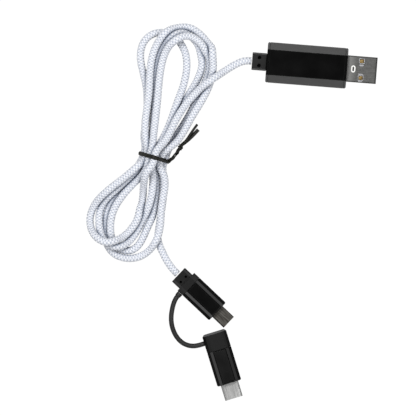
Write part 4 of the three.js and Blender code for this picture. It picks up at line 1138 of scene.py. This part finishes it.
def make_plug_details():
    """A rim and a leaf at each window of the USB-A shell, and its three stamped tabs. The rims and tabs are
    lighter as a painted highlight, and each leaf is darker gold as painted shade.
    """
    pieces = []
    for number, side in ((1, 1), (2, -1)):
        centre = (WINDOW_X, WINDOW_Y * side)
        pieces.append(rim(f"window_rim_{number}", centre, (2.3, 2.2), 0.3, 0.04, PLATE_TOP))
        leaf = pad(f"window_gold_shaded_{number}", centre, (2.0, 1.9), 0.1, PLATE_TOP - LEAF_DROP)
        finished(leaf, "window_gold_shaded", CABLE, slot="gold_contact")
    pieces.append(pad("stamped_tab_1", (WINDOW_X, 1.85), (2.0, 0.8), 0.09, PLATE_TOP))
    pieces.append(pad("stamped_tab_2", (WINDOW_X, -2.35), (2.3, 0.9), 0.09, PLATE_TOP))
    pieces.append(pad("stamped_tab_3", (WINDOW_X - 0.2, -5.35), (1.9, 0.6), 0.07, PLATE_TOP - 0.04))
    # Window rims and tabs take a painted highlight.
    for piece in pieces:
        finished(piece, "stamped_edge_highlight", CABLE, slot="nickel_shell")


# Each pair of dimples: its place along the housing, how far each is from the middle line,
# the housing's place and turn, the level of the floors and their width.
DIMPLES = [
    ("meter", -25.2, 1.83, (0, 0), 0.0, 7.72, 1.66),
    ("micro", -21.4, 1.65, MICRO, -MICRO_TURN, 5.82, 1.16),
]


def make_dimple_floors():
    """A shallow near-black disc at the bottom of each dimple in the two cord collars: painted shadow in the
    dimple.
    """
    angle = angles(32)
    circle = np.column_stack([np.cos(angle), np.sin(angle)])
    for housing, x, aside, origin, turn, level, width in DIMPLES:
        for number, side in ((1, 1), (2, -1)):
            rings = []
            for scale, rise in [(1.0, -0.04), (1.0, 0.02), (0.7, 0.0), (0.02, -0.02)]:
                flat = circle * width / 2 * scale + (x, aside * side)
                z = np.full((32, 1), level + rise)
                rings.append(placed(np.column_stack([flat, z]), origin, turn))
            piece = grid_mesh(f"{housing}_dimple_{number}", np.array(rings))
            finished(piece, "shadow_black", CABLE, slot="matte_black")


# Each seam between two housings: where it lies along them, half of the outline there as
# (across, up), how high its middle is, and the housing's place and turn.
METER_HALF = [(5.8, 5.2), (9.2, 1.8)]
MICRO_HALF = [(2.9, 3.7), (4.2, 2.95), (5.55, 1.5)]
ADAPTER_HALF = [(3.15, 3.7), (4.45, 2.95), (5.65, 1.5)]
SEAMS = [
    ("collar", -21.85, [(3.4, 3.3), (4.0, 2.7)], 5.2, (0, 0), 0.0, CABLE),
    ("meter_rear", -20.75, METER_HALF, 5.2, (0, 0), 0.0, CABLE),
    ("meter_front", 13.9, METER_HALF, 5.2, (0, 0), 0.0, CABLE),
    ("micro", -16.55, MICRO_HALF, PLUG_LEVEL, MICRO, -MICRO_TURN, CABLE),
    ("adapter", 8.45, ADAPTER_HALF, PLUG_LEVEL, ADAPTER_PLACE, -ADAPTER_TURN, ADAPTER),
]
SEAM_INSET = 0.3


def make_seams():
    """A near-black ring that closes each seam just below its surface: painted shade in the seam's gap."""
    for name, x, half, middle, origin, turn, body in SEAMS:
        quarter = np.array(half)
        ring = np.vstack([quarter, quarter[::-1] * (1, -1), -quarter, quarter[::-1] * (-1, 1)])
        reach = ring.max(axis=0)
        rings = []
        for inset, end in [(0, -1), (0, 1), (0.5, 1), (0.5, -1)]:
            flat = ring * (1 - (SEAM_INSET + inset) / reach)
            along = np.full((len(ring), 1), x + 0.3 * end)
            rings.append(placed(np.column_stack([along, flat + (0, middle)]), origin, turn))
        piece = grid_mesh(f"seam_{name}", np.array(rings), wrap_rows=True)
        finished(piece, "shadow_black", body, slot="matte_black")


SOFT = [
    # node, body, bevel width in mm
    ("meter_shell", CABLE, 0.16),
    ("rear_cap", CABLE, 0.14),
    ("front_cap", CABLE, 0.14),
    ("display_window", CABLE, 0.12),
    ("rear_collar", CABLE, 0.2),
    ("micro_housing", CABLE, 0.14),
    ("micro_collar", CABLE, 0.2),
    ("micro_face_top", CABLE, 0.1),
    ("adapter_housing", ADAPTER, 0.14),
    ("adapter_collar", ADAPTER, 0.16),
    ("adapter_face_top", ADAPTER, 0.1),
    ("usb_a_shell", CABLE, 0.08),
    ("micro_usb_shell", CABLE, 0.06),
    ("usb_c_shell", ADAPTER, 0.06),
]


def make_soft_bodies():
    for node, body, width in SOFT:
        piece = softened(node, width)
        finished(piece, FINISH.get(node, SLOTS[node]), body, (node,), SLOTS[node])


make_camera()
make_floor()
make_light()
dress_frame()
cord, cord_path = make_cord()
tether, tether_path = make_tether()
tie_pieces = [piece.name for piece in make_tie(cord_path)]
make_soft_bodies()
make_plug_details()
make_dimple_floors()
make_seams()
length_of(cord_path)
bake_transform(tether)
tuple(tether_path[0])
length_of(tether_path)
